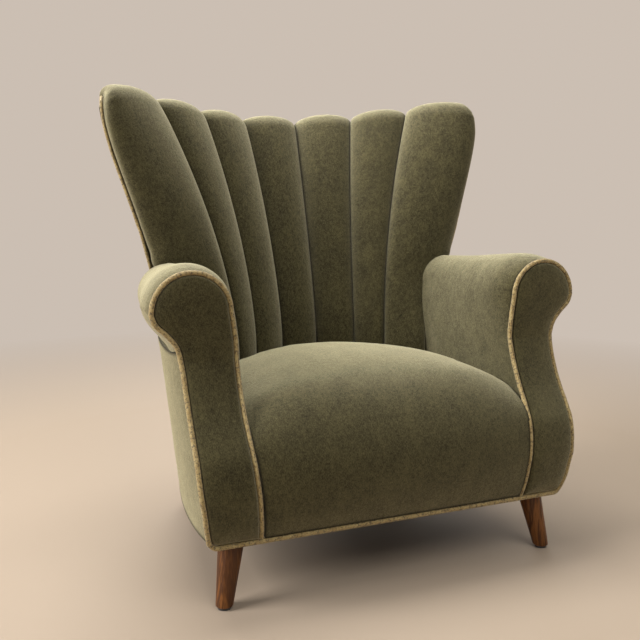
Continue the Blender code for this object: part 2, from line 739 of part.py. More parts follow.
def behind_back(x, z, depth):
    """Y of the plane surface at a depth behind the seams, at a half-width and a height."""
    points = [Vector((0, boundary(3, z).y, z))]
    for k in (3, 2, 1, 0):
        points.append(boundary(k, z))
    pushed = []
    for i, here in enumerate(points):
        after = points[min(i + 1, len(points) - 1)]
        before = points[max(i - 1, 0)]
        along = (after - before).normalized()
        normal = Vector((-along.y, along.x, 0)).normalized() if i else Vector((0, 1, 0))
        pushed.append(here + normal * depth)
    for first, second in zip(pushed, pushed[1:]):
        if abs(x) <= second.x or second is pushed[-1]:
            return mix(first.y, second.y, (abs(x) - first.x) / (second.x - first.x))


def rear_lines():
    """Lines of the outside back, foot to crest, under the ends of the eight lines of the front."""
    columns = []
    drop = Vector((0, 0, -PANEL_DROP))
    heights = [mix(BASE_Z, EDGE_LOW_Z, i / 5) for i in range(5)]
    heights += [p.z for p in LINES[0][EDGE_STATION:len(STATION_SHARES)]]
    shares = [PANEL_TURN_SHARE * (z - BASE_Z) / (heights[-1] - BASE_Z) for z in heights]
    shares += [mix(PANEL_TURN_SHARE, 1, i / 3) for i in (1, 2, 3)]
    for b in range(8):
        side = -1 if b < 4 else 1
        end = LINES[b][-1] + drop
        if b in (0, 7):
            column = [corner_line(mix(BASE_Z, EDGE_LOW_Z, i / 5)) for i in range(5)]
            column = [Vector((side * p.x, p.y, p.z)) for p in column]
            for s in range(EDGE_STATION, len(STATION_SHARES)):
                column.append(LINES[b][s] - NORMALS[b][s] * (EDGE_T + 7 * GAP))
            top = column[-1]
            column += [top.lerp(end, i / 3) for i in (1, 2, 3)]
        else:
            share = abs(end.x) / WING_HALF
            round_share = (1 - share ** REAR_BEND_SHARE) ** REAR_ROUND_SHARE
            foot_y = mix(REAR_CORNER_Y, REAR_FOOT_Y, round_share)
            foot = Vector((side * share * REAR_CORNER_X, foot_y, BASE_Z))
            column = [foot.lerp(end, t) for t in shares]
        columns.append(column)
    return columns


def spline_across(columns, per_span):
    """Smooth extra columns between those given."""
    result = []
    for b in range(len(columns) - 1):
        for step in range(per_span):
            t = step / per_span
            column = []
            for i in range(len(columns[0])):
                p0 = columns[max(b - 1, 0)][i]
                p1, p2 = columns[b][i], columns[b + 1][i]
                p3 = columns[min(b + 2, len(columns) - 1)][i]
                column.append(0.5 * (2 * p1 + (p2 - p0) * t + (2 * p0 - 5 * p1 + 4 * p2 - p3) * t ** 2
                                     + (3 * p1 - p0 - 3 * p2 + p3) * t ** 3))
            result.append(column)
    result.append(columns[-1])
    return result


def make_outside_back():
    """Outer panel of the back, from wing edge to wing edge."""
    columns = spline_across(rear_lines(), 2)
    normals = grid_normals(columns)
    outward = 1 if normals[len(columns) // 2][3].y > 0 else -1
    outer, inner = [], []
    for column, line in zip(columns, normals):
        outer.append([p - n * outward * GAP for p, n in zip(column, line)])
        inner.append([p - n * outward * (GAP + PANEL_T) for p, n in zip(column, line)])
    for edge, after, b in ((0, 1, 0), (-1, -2, 7)):
        for i in range(5, len(columns[edge])):
            s = min(EDGE_STATION + i - 5, len(STATION_SHARES) - 1)
            inward = (LINES[1 if b == 0 else 6][s] - LINES[b][s]).normalized()
            across = (columns[after][i] - columns[edge][i]).normalized()
            inner[edge][i] = (outer[edge][i] + inward * PANEL_T / max(inward.cross(across).length, 0.5)
                              - NORMALS[b][s] * 4 * GAP)
    outer, inner = [list(row) for row in zip(*outer)], [list(row) for row in zip(*inner)]
    add_object("outside_back", thick_sheet("outside_back", outer, inner), "velvet", smooth=50)


def make_side_piping(side, label, wing_cutter):
    """Cord up a rear corner and along the wing's edge to the crest, pressed against the wing."""
    reach = SIDE_PIPING_R + 2 * GAP
    columns = rear_lines()
    points = []
    for i in range(5):
        edge = columns[7][i]
        away = (edge - columns[6][i]).to_2d().normalized().to_3d()
        behind = Vector((-away.y, away.x, 0))
        points.append(edge + away * reach - behind * SIDE_PIPING_R)
    points[0].z += GAP
    for s in range(EDGE_STATION, len(STATION_SHARES)):
        along = LINES[7][s] - LINES[7][s - 1]
        away = along.cross(NORMALS[7][s]).normalized()
        away = away if away.dot(LINES[7][s] - LINES[6][s]) > 0 else -away
        points.append(LINES[7][s] + away * (reach + 2 * GAP) - NORMALS[7][s] * SIDE_PIPING_R)
    points = points if side > 0 else mirrored(points)
    name = f"side_piping_{label}"
    cord = tube(name, points, SIDE_PIPING_R, "piping")
    graph = bpy.context.evaluated_depsgraph_get()
    solid = bpy.data.meshes.new_from_object(cord.evaluated_get(graph))
    bpy.data.objects.remove(cord, do_unlink=True)
    cut(add_object(name, solid, "piping", smooth=50), wing_cutter)


def outside_arm_point(y_share, z):
    """Outer surface of the arm's side at a share of its length and a height."""
    neck = mix(BASE_Z + CORNER_R, ROLL_Z, .8)
    front = Vector((facing_outer_x(clamp_height(z, neck)), face_y(z) + FACING_T + GAP, z))
    rear = corner_line(z)
    bulge = SIDE_BULGE * math.sin(math.pi * y_share ** 0.75)
    return Vector((mix(front.x, rear.x, y_share) + bulge, mix(front.y, rear.y - 2 * PIPING_R, y_share), z))


def clamp_height(z, high):
    """A height kept between the facing's rounded corner and a limit."""
    return min(max(z, BASE_Z + CORNER_R), high)


def make_outside_arm(side, label):
    """Outer panel of an arm, from under the roll down to the base."""
    outer, inner = [], []
    for i in range(9):
        y_share = i / 8
        lowest = ROLL_Z + (ROLL_R + ARM_PROUD) * math.sin(HOOK_ANGLE) - 4 * GAP
        rows = face_rows(BASE_Z, lowest)
        y = outside_arm_point(y_share, lowest).y
        share = clamp((y - FACE_Y) / (ARM_REAR_Y - FACE_Y))
        rows[-1] = ROLL_Z + roll_radius(share) * math.sin(HOOK_ANGLE) - 4 * GAP
        line = [outside_arm_point(y_share, z) for z in rows]
        outer.append([Vector((side * p.x, p.y, p.z)) for p in line])
        inner.append([Vector((side * (p.x - PANEL_T), p.y, p.z)) for p in line])
    name = f"outside_arm_{label}"
    add_object(name, thick_sheet(name, outer, inner), "velvet", smooth=50)


# Seat

def seat_half(y, z):
    """Half-width of the seat at a depth and a height, clear of the piping and the arm's cover."""
    front = face_y(z) + FACING_T + GAP
    share = clamp((y - front) / (ARM_REAR_Y - front))
    arm = facing_inner_x(z) - ARM_TOE_IN * share - SEAT_SIDE_GAP
    piping = facing_inner_x(z) - 2 * PIPING_R - 2 * SEAT_SIDE_GAP
    return mix(piping, arm, clamp((y - front) / SEAT_ROLL_RUN) ** 0.6)


def seat_rear_y(x):
    """Depth of the seams at a half-width, where the seat meets the back."""
    edges = [boundary(k, BACK_FOOT_Z) for k in (3, 2, 1, 0)]
    if abs(x) <= edges[0].x:
        return edges[0].y
    for first, second in zip(edges, edges[1:]):
        if abs(x) <= second.x:
            return mix(first.y, second.y, (abs(x) - first.x) / (second.x - first.x))
    return edges[-1].y


def core_rise(u, y):
    """Rise of the core's crowned top at a share of its width and a depth."""
    along = clamp((y - CORE_FRONT_Y) / (CORE_REAR_Y - CORE_FRONT_Y))
    return CORE_CROWN * (1 - u ** 2) * math.sin(math.pi * mix(.12, .85, along))


def seat_grids():
    """Outer and inner surface of the seat's cover, front foot to rear."""
    roll_z = SEAT_EDGE_Z - SEAT_ROLL_H
    core_y = CORE_FRONT_Y - CORE_COVER_GAP
    outer, inner = [], []
    for i in range(SEAT_FRONT_STEPS + SEAT_ROLL_STEPS + SEAT_TOP_STEPS + 1):
        line, back = [], []
        for u in SEAT_ACROSS:
            full = 1 - abs(u) ** 3
            if i <= SEAT_FRONT_STEPS:
                v = i / SEAT_FRONT_STEPS
                z = mix(BASE_Z, roll_z, v)
                y = face_y(z) - SEAT_FRONT_CROWN * full * math.sin(math.pi / 2 * v)
                line.append(Vector((u * seat_half(y, z), y, z)))
                low = mix(BASE_Z, RAIL_TOP_Z + GAP, v)
                back.append(Vector((u * seat_half(y, z), FRAME_FRONT_Y - GAP, low)))
                continue
            turn = clamp((i - SEAT_FRONT_STEPS) / SEAT_ROLL_STEPS)
            top = clamp((i - SEAT_FRONT_STEPS - SEAT_ROLL_STEPS) / SEAT_TOP_STEPS)
            angle = turn * math.pi / 2
            run = (i - SEAT_FRONT_STEPS) / (SEAT_ROLL_STEPS + SEAT_TOP_STEPS)
            lift = SEAT_CROWN * full * smooth_table(SEAT_LIFT_SHARES, run)
            z = roll_z + SEAT_ROLL_H * math.sin(angle) + lift
            front = face_y(roll_z) + SEAT_ROLL_RUN * (1 - math.cos(angle))
            y = front - SEAT_FRONT_CROWN * full * (1 - run)
            x = u * seat_half(y, SEAT_EDGE_Z)
            y = mix(y, seat_rear_y(x) + SEAT_TUCK, top)
            line.append(Vector((u * seat_half(y, SEAT_EDGE_Z), y, z)))
            inner_y = mix(mix(FRAME_FRONT_Y - GAP, core_y, turn), y, top)
            inner_z = mix(RAIL_TOP_Z + GAP, CORE_TOP_Z + CORE_COVER_GAP, turn) + core_rise(u, inner_y) * turn
            back.append(Vector((u * seat_half(y, SEAT_EDGE_Z), inner_y, inner_z)))
        outer.append(line)
        inner.append(back)
    return outer, inner


def make_seat_cover(cutters):
    """Tight seat with its front border, trimmed to the feet of the back channels."""
    made = add_object("seat_cover", thick_sheet("seat_cover", *seat_grids()), "velvet", smooth=50)
    for cutter in cutters:
        cut(made, cutter)


def spring_height(y):
    """Height of the springs' wire over the rails at a depth."""
    front, rear = FRAME_FRONT_Y + RAIL_T - SPRING_SEAT, FRAME_REAR_Y - RAIL_T + SPRING_SEAT
    share = clamp((y - front) / (rear - front))
    return RAIL_TOP_Z + SPRING_WIRE_R + GAP + SPRING_ARCH * math.sin(math.pi * share)


def make_springs():
    """Zigzag springs from the front rail to the rear rail."""
    front, rear = FRAME_FRONT_Y + RAIL_T - SPRING_SEAT, FRAME_REAR_Y - RAIL_T + SPRING_SEAT
    steps = SPRING_LOOPS * SPRING_STEPS
    for number in range(SPRING_COUNT):
        middle = SPRING_PITCH * (number - (SPRING_COUNT - 1) / 2)
        points = []
        for i in range(steps + 1):
            y = mix(front, rear, i / steps)
            swing = clamp((1 + SPRING_SQUARE_SHARE * math.cos(math.pi * i / SPRING_STEPS)) / 2) - 0.5
            points.append(Vector((middle + SPRING_SWING * swing, y, spring_height(y))))
        tube(f"seat_spring_{number + 1}", points, SPRING_WIRE_R, "steel", resolution=1)


def make_seat_filling():
    """Burlap over the springs and the stuffed core on it."""
    low, high = [], []
    top = SPRING_WIRE_R + 2 * GAP
    for i in range(13):
        y = mix(FRAME_FRONT_Y + CORE_COVER_GAP, BURLAP_REAR_Y, i / 12)
        sides = (-BURLAP_HALF, 0, BURLAP_HALF)
        low.append([Vector((x, y, spring_height(y) + top)) for x in sides])
        high.append([Vector((x, y, spring_height(y) + top + BURLAP_T)) for x in sides])
    add_object("seat_burlap", thick_sheet("seat_burlap", high, low), "burlap")
    bottom = max(p.z for row in high for p in row) + GAP
    low, high = [], []
    line = (-1, -.6, -.2, .2, .6, 1)
    for along, across in CORE_PLAN_SHARES:
        y, half = mix(CORE_FRONT_Y, CORE_REAR_Y, along), across * CORE_HALF
        low.append([Vector((u * half, y, bottom)) for u in line])
        high.append([])
        for u in line:
            rise = core_rise(u * half / CORE_HALF, y)
            high[-1].append(Vector((u * half, y, CORE_TOP_Z + rise)))
    add_object("seat_core", thick_sheet("seat_core", high, low), "stuffing", smooth=50)


# Frame

def prism(name, plan, low, high, finish):
    """Upright piece with a flat outline."""
    rings = [[Vector((x, y, z)) for x, y in plan] for z in (low, high)]
    return add_object(name, loft(name, rings), finish)


def side_rail_x(y):
    """Middle line of a side rail."""
    front = face_y(FRAME_Z) + FACING_T + STUMP_D
    return mix(SIDE_RAIL_FRONT_X, SIDE_RAIL_REAR_X, (y - front) / (SIDE_RAIL_REAR_Y - front))


def make_seat_rails():
    """Front and rear rails between the stumps and the side rails."""
    height = FRAME_Z + RAIL_H / 2
    half = STUMP_X - STUMP_W / 2 - GAP
    box("front_seat_rail", (2 * half, RAIL_T, RAIL_H), (0, FRAME_FRONT_Y + RAIL_T / 2, height), "beech")
    half = SIDE_RAIL_REAR_X - RAIL_T / 2 - SEAT_SIDE_GAP - GAP
    box("rear_seat_rail", (2 * half, RAIL_T, RAIL_H), (0, FRAME_REAR_Y - RAIL_T / 2, height), "beech")


def make_side_rail(side, label):
    """Side rail, its front end scribed to the curved stump."""
    rings = []
    for z in face_rows(FRAME_Z, RAIL_TOP_Z):
        front = face_y(z) + FACING_T + STUMP_D + 2 * GAP
        ring = []
        for y, edge in ((front, -1), (front, 1), (SIDE_RAIL_REAR_Y, 1), (SIDE_RAIL_REAR_Y, -1)):
            ring.append(Vector((side * (side_rail_x(y) + edge * RAIL_T / 2), y, z)))
        rings.append(ring)
    name = f"side_seat_rail_{label}"
    add_object(name, loft(name, rings), "beech")


def make_corner_blocks(side, label):
    """Glued blocks in the corners of the seat frame."""
    x, y = STUMP_X - STUMP_W / 2 - GAP, FRAME_FRONT_Y + RAIL_T + GAP
    plan = [(side * x, y), (side * (x - BLOCK_LEG), y), (side * (x - BLOCK_TAPER), y + BLOCK_LEG)]
    prism(f"front_corner_block_{label}", plan, FRAME_Z, FRAME_Z + BLOCK_T, "beech")
    y = FRAME_REAR_Y - RAIL_T - GAP
    x = side_rail_x(y) - RAIL_T / 2 - SEAT_SIDE_GAP
    plan = [(side * x, y), (side * (x - BLOCK_LEG), y), (side * (x + BLOCK_TAPER), y - BLOCK_LEG)]
    prism(f"rear_corner_block_{label}", plan, FRAME_Z, FRAME_Z + BLOCK_T, "beech")


def make_back_post(side, label):
    """Curved post of the back, from in front of the rear rail to under the crest rail."""
    rings = []
    top = crest_line(1.5)[0].z - CREST_RAIL_H + CREST_RAIL_TOP - POST_TOP_GAP
    heights = [FRAME_Z, RAIL_TOP_Z, POST_BEND_Z, SEAM_FOOT_Z]
    heights += [mix(SEAM_FOOT_Z, top, i / 5) for i in range(1, 6)]
    for z in heights:
        x = mix(boundary(1, z).x, boundary(2, z).x, 0.5)
        bend = clamp((z - RAIL_TOP_Z) / (POST_BEND_Z - RAIL_TOP_Z))
        plan = []
        for edge, depth in ((-1, 0), (1, 0), (1, POST_D), (-1, POST_D)):
            px = x + edge * POST_W / 2
            plan.append((px, mix(POST_FRONT_Y, behind_back(px, z, POST_DEPTH), bend) + depth))
        rings.append([Vector((side * px, py, z)) for px, py in plan])
    name = f"back_post_{label}"
    add_object(name, loft(name, rings), "beech")


def make_wing_post(side, label):
    """Bent post behind a wing, standing on the side rail."""
    rings = []
    half = WING_POST_W / 2
    path = []
    places = [(mix(RAIL_TOP_Z, EDGE_LOW_Z, t), across, depth) for t, across, depth in WING_POST_LOW_SHARES]
    places += [(mix(EDGE_LOW_Z, WING_EDGE_Z, t), across, depth) for t, across, depth in WING_POST_HIGH_SHARES]
    for z, across, depth in places:
        edge, seam_line = boundary(0, z), boundary(1, z)
        behind = Vector((seam_line.y - edge.y, edge.x - seam_line.x, 0)).normalized()
        path.append(edge.lerp(seam_line, across) + behind * depth * WING_POST_DEPTH)
    y = path[0].y - WING_POST_FOOT_BACK
    path.insert(0, Vector((side_rail_x(y), y, RAIL_TOP_Z + GAP)))
    for x, y, z in path:
        plan = ((x - half, y - half), (x + half, y - half), (x + half, y + half), (x - half, y + half))
        rings.append([Vector((side * px, py, z)) for px, py in plan])
    name = f"wing_post_{label}"
    add_object(name, loft(name, rings), "beech")


def crest_line(k):
    """Centre of the crest's turn at line k, which may lie between two lines, and its rear direction."""
    low = min(int(k), 2)
    first, second = crest_turn(low), crest_turn(low + 1)
    centre = mix(first[0] + first[2] * first[3], second[0] + second[2] * second[3], k - low)
    rear = mix(rear_direction(low), rear_direction(low + 1), k - low).normalized()
    return centre, rear


def make_crest_rail():
    """Curved rail inside the top of the back."""
    rings = []
    for k in (CREST_RAIL_END_SHARE, 1, 2, 3):
        centre, rear = crest_line(k)
        ring = []
        for depth, z in ((-1, CREST_RAIL_TOP), (1, CREST_RAIL_TOP), (1, CREST_RAIL_TOP - CREST_RAIL_H),
                         (-1, CREST_RAIL_TOP - CREST_RAIL_H)):
            ring.append(centre + rear * depth * CREST_RAIL_T / 2 + Vector((0, 0, z)))
        rings.append(ring)
    left = [mirrored(ring) for ring in rings]
    add_object("crest_rail", loft("crest_rail", left + rings[::-1]), "beech")


def make_tack_rail():
    """Curved rail between the back posts that holds the lower edge of the back's burlap."""
    rings = []
    half = mix(boundary(1, TACK_RAIL_Z).x, boundary(2, TACK_RAIL_Z).x, 0.5) - POST_W / 2 - GAP
    for share in (-1, -.9, -.33, .33, .9, 1):
        x = share * half
        front = behind_back(x, TACK_RAIL_Z, POST_DEPTH)
        plan = ((front, TACK_RAIL_Z), (front + TACK_RAIL_T, TACK_RAIL_Z),
                (front + TACK_RAIL_T, TACK_RAIL_Z + TACK_RAIL_H), (front, TACK_RAIL_Z + TACK_RAIL_H))
        rings.append([Vector((x, y, z)) for y, z in plan])
    add_object("tack_rail", loft("tack_rail", rings), "beech")


def make_back_burlap():
    """Burlap stretched behind the channels, from the tack rail to the crest rail."""
    outer, inner = [], []
    for s in range(2, len(STATION_SHARES) - 1):
        outer.append([LINES[b][s] - NORMALS[b][s] * (PAD_T + BURLAP_GAP) for b in range(1, 7)])
        inner.append([LINES[b][s] - NORMALS[b][s] * (PAD_T + BURLAP_GAP + BURLAP_T) for b in range(1, 7)])
    add_object("back_burlap", thick_sheet("back_burlap", outer, inner), "burlap", smooth=50)


def make_dust_cover():
    """Black cloth under the frame."""
    clear = PLATE_SIDE / 2 + DUST_INSET
    front, rear = FRAME_FRONT_Y + DUST_INSET, FRAME_REAR_Y - DUST_INSET - PLATE_T
    side = RAIL_T / 2 - DUST_INSET
    inner, back = FRONT_LEG_Y + clear, REAR_LEG_Y - clear
    right = [(FRONT_LEG_X - clear, front), (FRONT_LEG_X - clear, inner), (side_rail_x(inner) + side, inner),
             (side_rail_x(back) + side, back), (REAR_LEG_X - clear, back), (REAR_LEG_X - clear, rear)]
    plan = right + [(-x, y) for x, y in right[::-1]]
    prism("dust_cover", plan, FRAME_Z - GAP - DUST_T, FRAME_Z - GAP, "lining")


# Legs

def make_leg(name, x, y, lean):
    """Turned leg, its angled plate with a threaded stud, and its glide."""
    foot = GLIDE_H + GAP
    bore = LEG_TOP_Z - STUD_DEPTH - STUD_R
    profile = ((0, bore), (STUD_BORE_R, bore), (STUD_BORE_R, LEG_TOP_Z),
               (LEG_TOP_R - LEG_FOOT_EDGE, LEG_TOP_Z), (LEG_TOP_R, LEG_TOP_Z - LEG_FOOT_EDGE),
               (LEG_FOOT_R, foot + LEG_FOOT_EDGE), (LEG_FOOT_R - LEG_FOOT_EDGE, foot), (0, foot))
    leg = turned(f"{name}_leg", profile, "walnut", lean, LEG_TOP_Z)
    leg.location = (x, y, 0)

    low, high = LEG_TOP_Z + GAP, FRAME_Z - GAP
    plate = box(f"{name}_leg_plate", (PLATE_SIDE, PLATE_SIDE, high - low), (x, y, (low + high) / 2), "steel")
    stud = bmesh.new()
    bmesh.ops.create_cone(stud, cap_ends=True, segments=ROUND_SIDES, radius1=STUD_R, radius2=STUD_R,
                          depth=STUD_DEPTH + PLATE_T)
    for vert in stud.verts:
        vert.co.z += LEG_TOP_Z - STUD_DEPTH / 2 + PLATE_T / 2 - GAP
        vert.co.x += x + lean[0] * (LEG_TOP_Z - vert.co.z)
        vert.co.y += y + lean[1] * (LEG_TOP_Z - vert.co.z)
    union = plate.modifiers.new("stud", "BOOLEAN")
    union.operation = "UNION"
    union.object = add_cutter(f"{name}_stud", mesh_from_bmesh(f"{name}_stud", stud))
    union.object.hide_render = True
    union.object.display_type = "WIRE"

    slide = LEG_TOP_Z - GLIDE_H
    profile = ((0, 0), (GLIDE_R, 0), (GLIDE_R, GLIDE_H), (0, GLIDE_H))
    glide = turned(f"{name}_glide", profile, "nylon", (0, 0), 0)
    glide.location = (x + lean[0] * slide, y + lean[1] * slide, 0)


def centre_chair():
    """Move the chair so that its whole depth is centred on the origin."""
    bpy.context.view_layer.update()
    graph = bpy.context.evaluated_depsgraph_get()
    depths = []
    for made in CHAIR.objects:
        if made.type in ("MESH", "CURVE"):
            shown = made.evaluated_get(graph)
            depths += [(shown.matrix_world @ vert.co).y for vert in shown.to_mesh().vertices]
            shown.to_mesh_clear()
    ORIGIN.location.y = -(min(depths) + max(depths)) / 2


def build():
    """Build the whole chair."""
    cutters = make_channels()
    make_outside_back()
    make_seat_cover(cutters)
    make_seat_filling()
    make_springs()
    make_seat_rails()
    make_crest_rail()
    make_tack_rail()
    make_back_burlap()
    make_dust_cover()
    make_base_piping()
    drop = LEG_TOP_Z
    for side, label, cutter in ((-1, "left", cutters[0]), (1, "right", cutters[-1])):
        make_facing(side, label)
        make_facing_piping(side, label)
        make_side_piping(side, label, cutter)
        make_arm_cover(side, label, cutter)
        make_arm_rail(side, label)
        make_arm_stump(side, label)
        make_outside_arm(side, label)
        make_side_rail(side, label)
        make_corner_blocks(side, label)
        make_back_post(side, label)
        make_wing_post(side, label)
        splay = side * LEG_SPLAY_X / drop
        make_leg(f"front_{label}", side * FRONT_LEG_X, FRONT_LEG_Y, (splay, -FRONT_LEG_RAKE / drop))
        make_leg(f"rear_{label}", side * REAR_LEG_X, REAR_LEG_Y, (splay, REAR_LEG_RAKE / drop))


clear_scene()
CHAIR = bpy.data.collections.new("reading_chair")
CUTTERS = bpy.data.collections.new("cutters")
bpy.context.scene.collection.children.link(CHAIR)
bpy.context.scene.collection.children.link(CUTTERS)
ORIGIN = bpy.data.objects.new("chair_origin", None)
CHAIR.objects.link(ORIGIN)
LINES, NORMALS = back_lines()
build()
centre_chair()
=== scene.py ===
"""Reading chair: upholstery, gold piping, legs and hidden frame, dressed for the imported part.

Lengths are metres, +Z is up and the sitter faces -Y. The soft pieces follow the same outlines as the
part's solids at a finer step, and take their last swell from a cloth simulation.
"""
from __future__ import annotations

import json
import logging
import math
from dataclasses import dataclass, field
from enum import Enum
from typing import Callable, Sequence

import bmesh
import bpy
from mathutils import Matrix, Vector
from mathutils.bvhtree import BVHTree

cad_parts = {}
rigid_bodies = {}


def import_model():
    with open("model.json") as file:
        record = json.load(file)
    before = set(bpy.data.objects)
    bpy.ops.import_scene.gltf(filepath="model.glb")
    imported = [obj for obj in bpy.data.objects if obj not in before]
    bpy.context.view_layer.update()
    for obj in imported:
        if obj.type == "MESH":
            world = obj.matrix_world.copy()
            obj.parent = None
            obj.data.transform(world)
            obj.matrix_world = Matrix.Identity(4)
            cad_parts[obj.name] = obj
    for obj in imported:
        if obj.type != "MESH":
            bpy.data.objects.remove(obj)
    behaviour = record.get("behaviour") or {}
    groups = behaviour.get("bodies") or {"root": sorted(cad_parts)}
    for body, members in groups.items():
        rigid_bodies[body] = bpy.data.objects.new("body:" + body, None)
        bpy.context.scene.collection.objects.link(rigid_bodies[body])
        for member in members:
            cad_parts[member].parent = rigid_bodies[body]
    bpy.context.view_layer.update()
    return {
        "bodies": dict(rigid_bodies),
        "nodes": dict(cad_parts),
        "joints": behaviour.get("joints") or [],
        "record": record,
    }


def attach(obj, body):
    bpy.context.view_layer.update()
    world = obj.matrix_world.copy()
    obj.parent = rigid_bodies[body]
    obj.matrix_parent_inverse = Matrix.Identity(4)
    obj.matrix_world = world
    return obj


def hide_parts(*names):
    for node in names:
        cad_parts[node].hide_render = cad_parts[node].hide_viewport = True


LOG = logging.getLogger("reading_chair")

Grid = list[list[Vector]]
Table = Sequence[Sequence[float]]
Node = bpy.types.Node
Socket = bpy.types.NodeSocket

BODY = "root"
SETBACK = Vector((0, 0.00867, 0))      # from the outlines below to where the part has them
GAP = 0.0003               # between pieces that touch
CLEAR = 0.0012             # between a trimmed piece and the neighbour that it is trimmed against
LINES = 8                  # of the back from side to side: two wing edges and six seams
EDGES = (0, LINES - 1)     # the wings' edges among them
WINGS = (0, LINES - 2)     # the wings among the seven channels between them
OUTLINE_STEPS = 60         # of the facing's outline up its inner edge, and over the roll


class Side(Enum):
    """Side of the chair, as seen by someone who looks at its front."""

    LEFT = -1
    RIGHT = 1

    @property
    def label(self) -> str:
        """Name of the side as the nodes spell it."""
        return self.name.lower()

    def place(self, point: Vector) -> Vector:
        """Put a point of the right side on this one."""
        return Vector((self.value * point.x, point.y, point.z))


class Slot(Enum):
    """Material slots of the part's record."""

    VELVET = "velvet"
    PIPING = "piping"
    BEECH = "beech"
    WALNUT = "walnut"
    BURLAP = "burlap"
    STUFFING = "stuffing"
    STEEL = "steel"
    NYLON = "nylon"
    LINING = "lining"


# Small shape tools


def mix(a, b, t: float):
    """Return the value or vector between a and b."""
    return a + (b - a) * t


def clamp(t: float, low: float = 0.0, high: float = 1.0) -> float:
    """Keep a value between two limits."""
    return min(max(t, low), high)


def portion(value: float, low: float, high: float) -> float:
    """Return how far a value has come from one limit to another, from 0 to 1."""
    return clamp((value - low) / (high - low))


def ease(t: float) -> float:
    """Turn a share from 0 to 1 into one that starts and ends softly."""
    return t * t * (3 - 2 * t)


def arc(radius: float, off: float) -> float:
    """Return half the chord of a circle at a distance from its centre, and 0 outside it."""
    return math.sqrt(max(radius ** 2 - off ** 2, 0))


def spaced(low: float, high: float, count: int) -> list[float]:
    """Return evenly spaced values from one up to another, which is left out."""
    return [mix(low, high, i / count) for i in range(count)]


def bunched(count: int) -> list[float]:
    """Return shares from 0 to 1, both included, closer together towards both ends."""
    return [(1 - math.cos(math.pi * i / count)) / 2 for i in range(count + 1)]


def distances(line: Sequence[Vector]) -> list[float]:
    """Return the distance of each point from the first, along the line."""
    found = [0.0]
    for a, b in zip(line, line[1:]):
        found.append(found[-1] + (b - a).length)
    return found


def table_curve(rows: Table, t: float, column: int = 1) -> float:
    """Read a smooth curve through a table.

    Args:
        rows: Rows that start with the share they stand at.
        t: Share to read.
        column: Column of the value.

    Returns:
        The value of the curve.
    """
    if t <= rows[0][0]:
        return rows[0][column]
    if t >= rows[-1][0]:
        return rows[-1][column]
    k = next(i for i in range(len(rows) - 1) if rows[i + 1][0] >= t)

    def slope(i: int) -> float:
        low, high = max(i - 1, 0), min(i + 1, len(rows) - 1)
        return (rows[high][column] - rows[low][column]) / (rows[high][0] - rows[low][0])

    width = rows[k + 1][0] - rows[k][0]
    s = (t - rows[k][0]) / width
    start, end = rows[k][column], rows[k + 1][column]
    return ((2 * s ** 3 - 3 * s ** 2 + 1) * start + (s ** 3 - 2 * s ** 2 + s) * width * slope(k)
            + (3 * s ** 2 - 2 * s ** 3) * end + (s ** 3 - s ** 2) * width * slope(k + 1))


def edge_point(table: Table, low: Sequence[float], high: Sequence[float], z: float) -> Vector:
    """Return an edge's point at a height between its ends, from a table of its way in x and y."""
    h = portion(z, low[2], high[2])
    return Vector((mix(low[0], high[0], table_curve(table, h)),
                   mix(low[1], high[1], table_curve(table, h, 2)), z))


def refine(line: Sequence[Vector], per_span: int) -> list[Vector]:
    """Draw a smooth curve through points.

    Args:
        line: Points of the curve.
        per_span: New points for each stretch between two of them.

    Returns:
        The closer points, ends included.
    """
    result = []
    for b in range(len(line) - 1):
        p0, p1 = line[max(b - 1, 0)], line[b]
        p2, p3 = line[b + 1], line[min(b + 2, len(line) - 1)]
        for step in range(per_span):
            t = step / per_span
            result.append(0.5 * (2 * p1 + (p2 - p0) * t + (2 * p0 - 5 * p1 + 4 * p2 - p3) * t ** 2
                                 + (3 * p1 - p0 - 3 * p2 + p3) * t ** 3))
    result.append(line[-1].copy())
    return result


def refine_grid(grid: Grid, rows: int, columns: int) -> Grid:
    """Refine a grid of points both ways."""
    fine = [refine(line, columns) for line in grid]
    turned = [refine(list(line), rows) for line in zip(*fine)]
    return [list(line) for line in zip(*turned)]


def grid_normals(grid: Grid) -> Grid:
    """Return unit normals of a grid of points, from the neighbours of each."""
    rows, columns = len(grid), len(grid[0])
    return [[(grid[min(i + 1, rows - 1)][j] - grid[max(i - 1, 0)][j]).cross(
        grid[i][min(j + 1, columns - 1)] - grid[i][max(j - 1, 0)]).normalized()
        for j in range(columns)] for i in range(rows)]


def trim_share(course: Callable[[float], Vector], walls: Sequence[BVHTree]) -> float:
    """Find where a course of points has to stop, just short of a neighbour.

    Args:
        course: Gives the point at a share of the course.
        walls: Surfaces of the neighbours.

    Returns:
        The share of the course that is free.
    """
    steps = 48
    before = course(0)
    for i in range(1, steps + 1):
        here = course(i / steps)
        ray = here - before
        length = ray.length
        if length > 1e-7:
            for wall in walls:
                hit = wall.ray_cast(before, ray / length, length + CLEAR)
                if hit[0] is not None:
                    reach = max(hit[3] - CLEAR, 0) / length
                    return clamp((i - 1 + reach) / steps)
        before = here
    return 1.0


# The chair's outlines


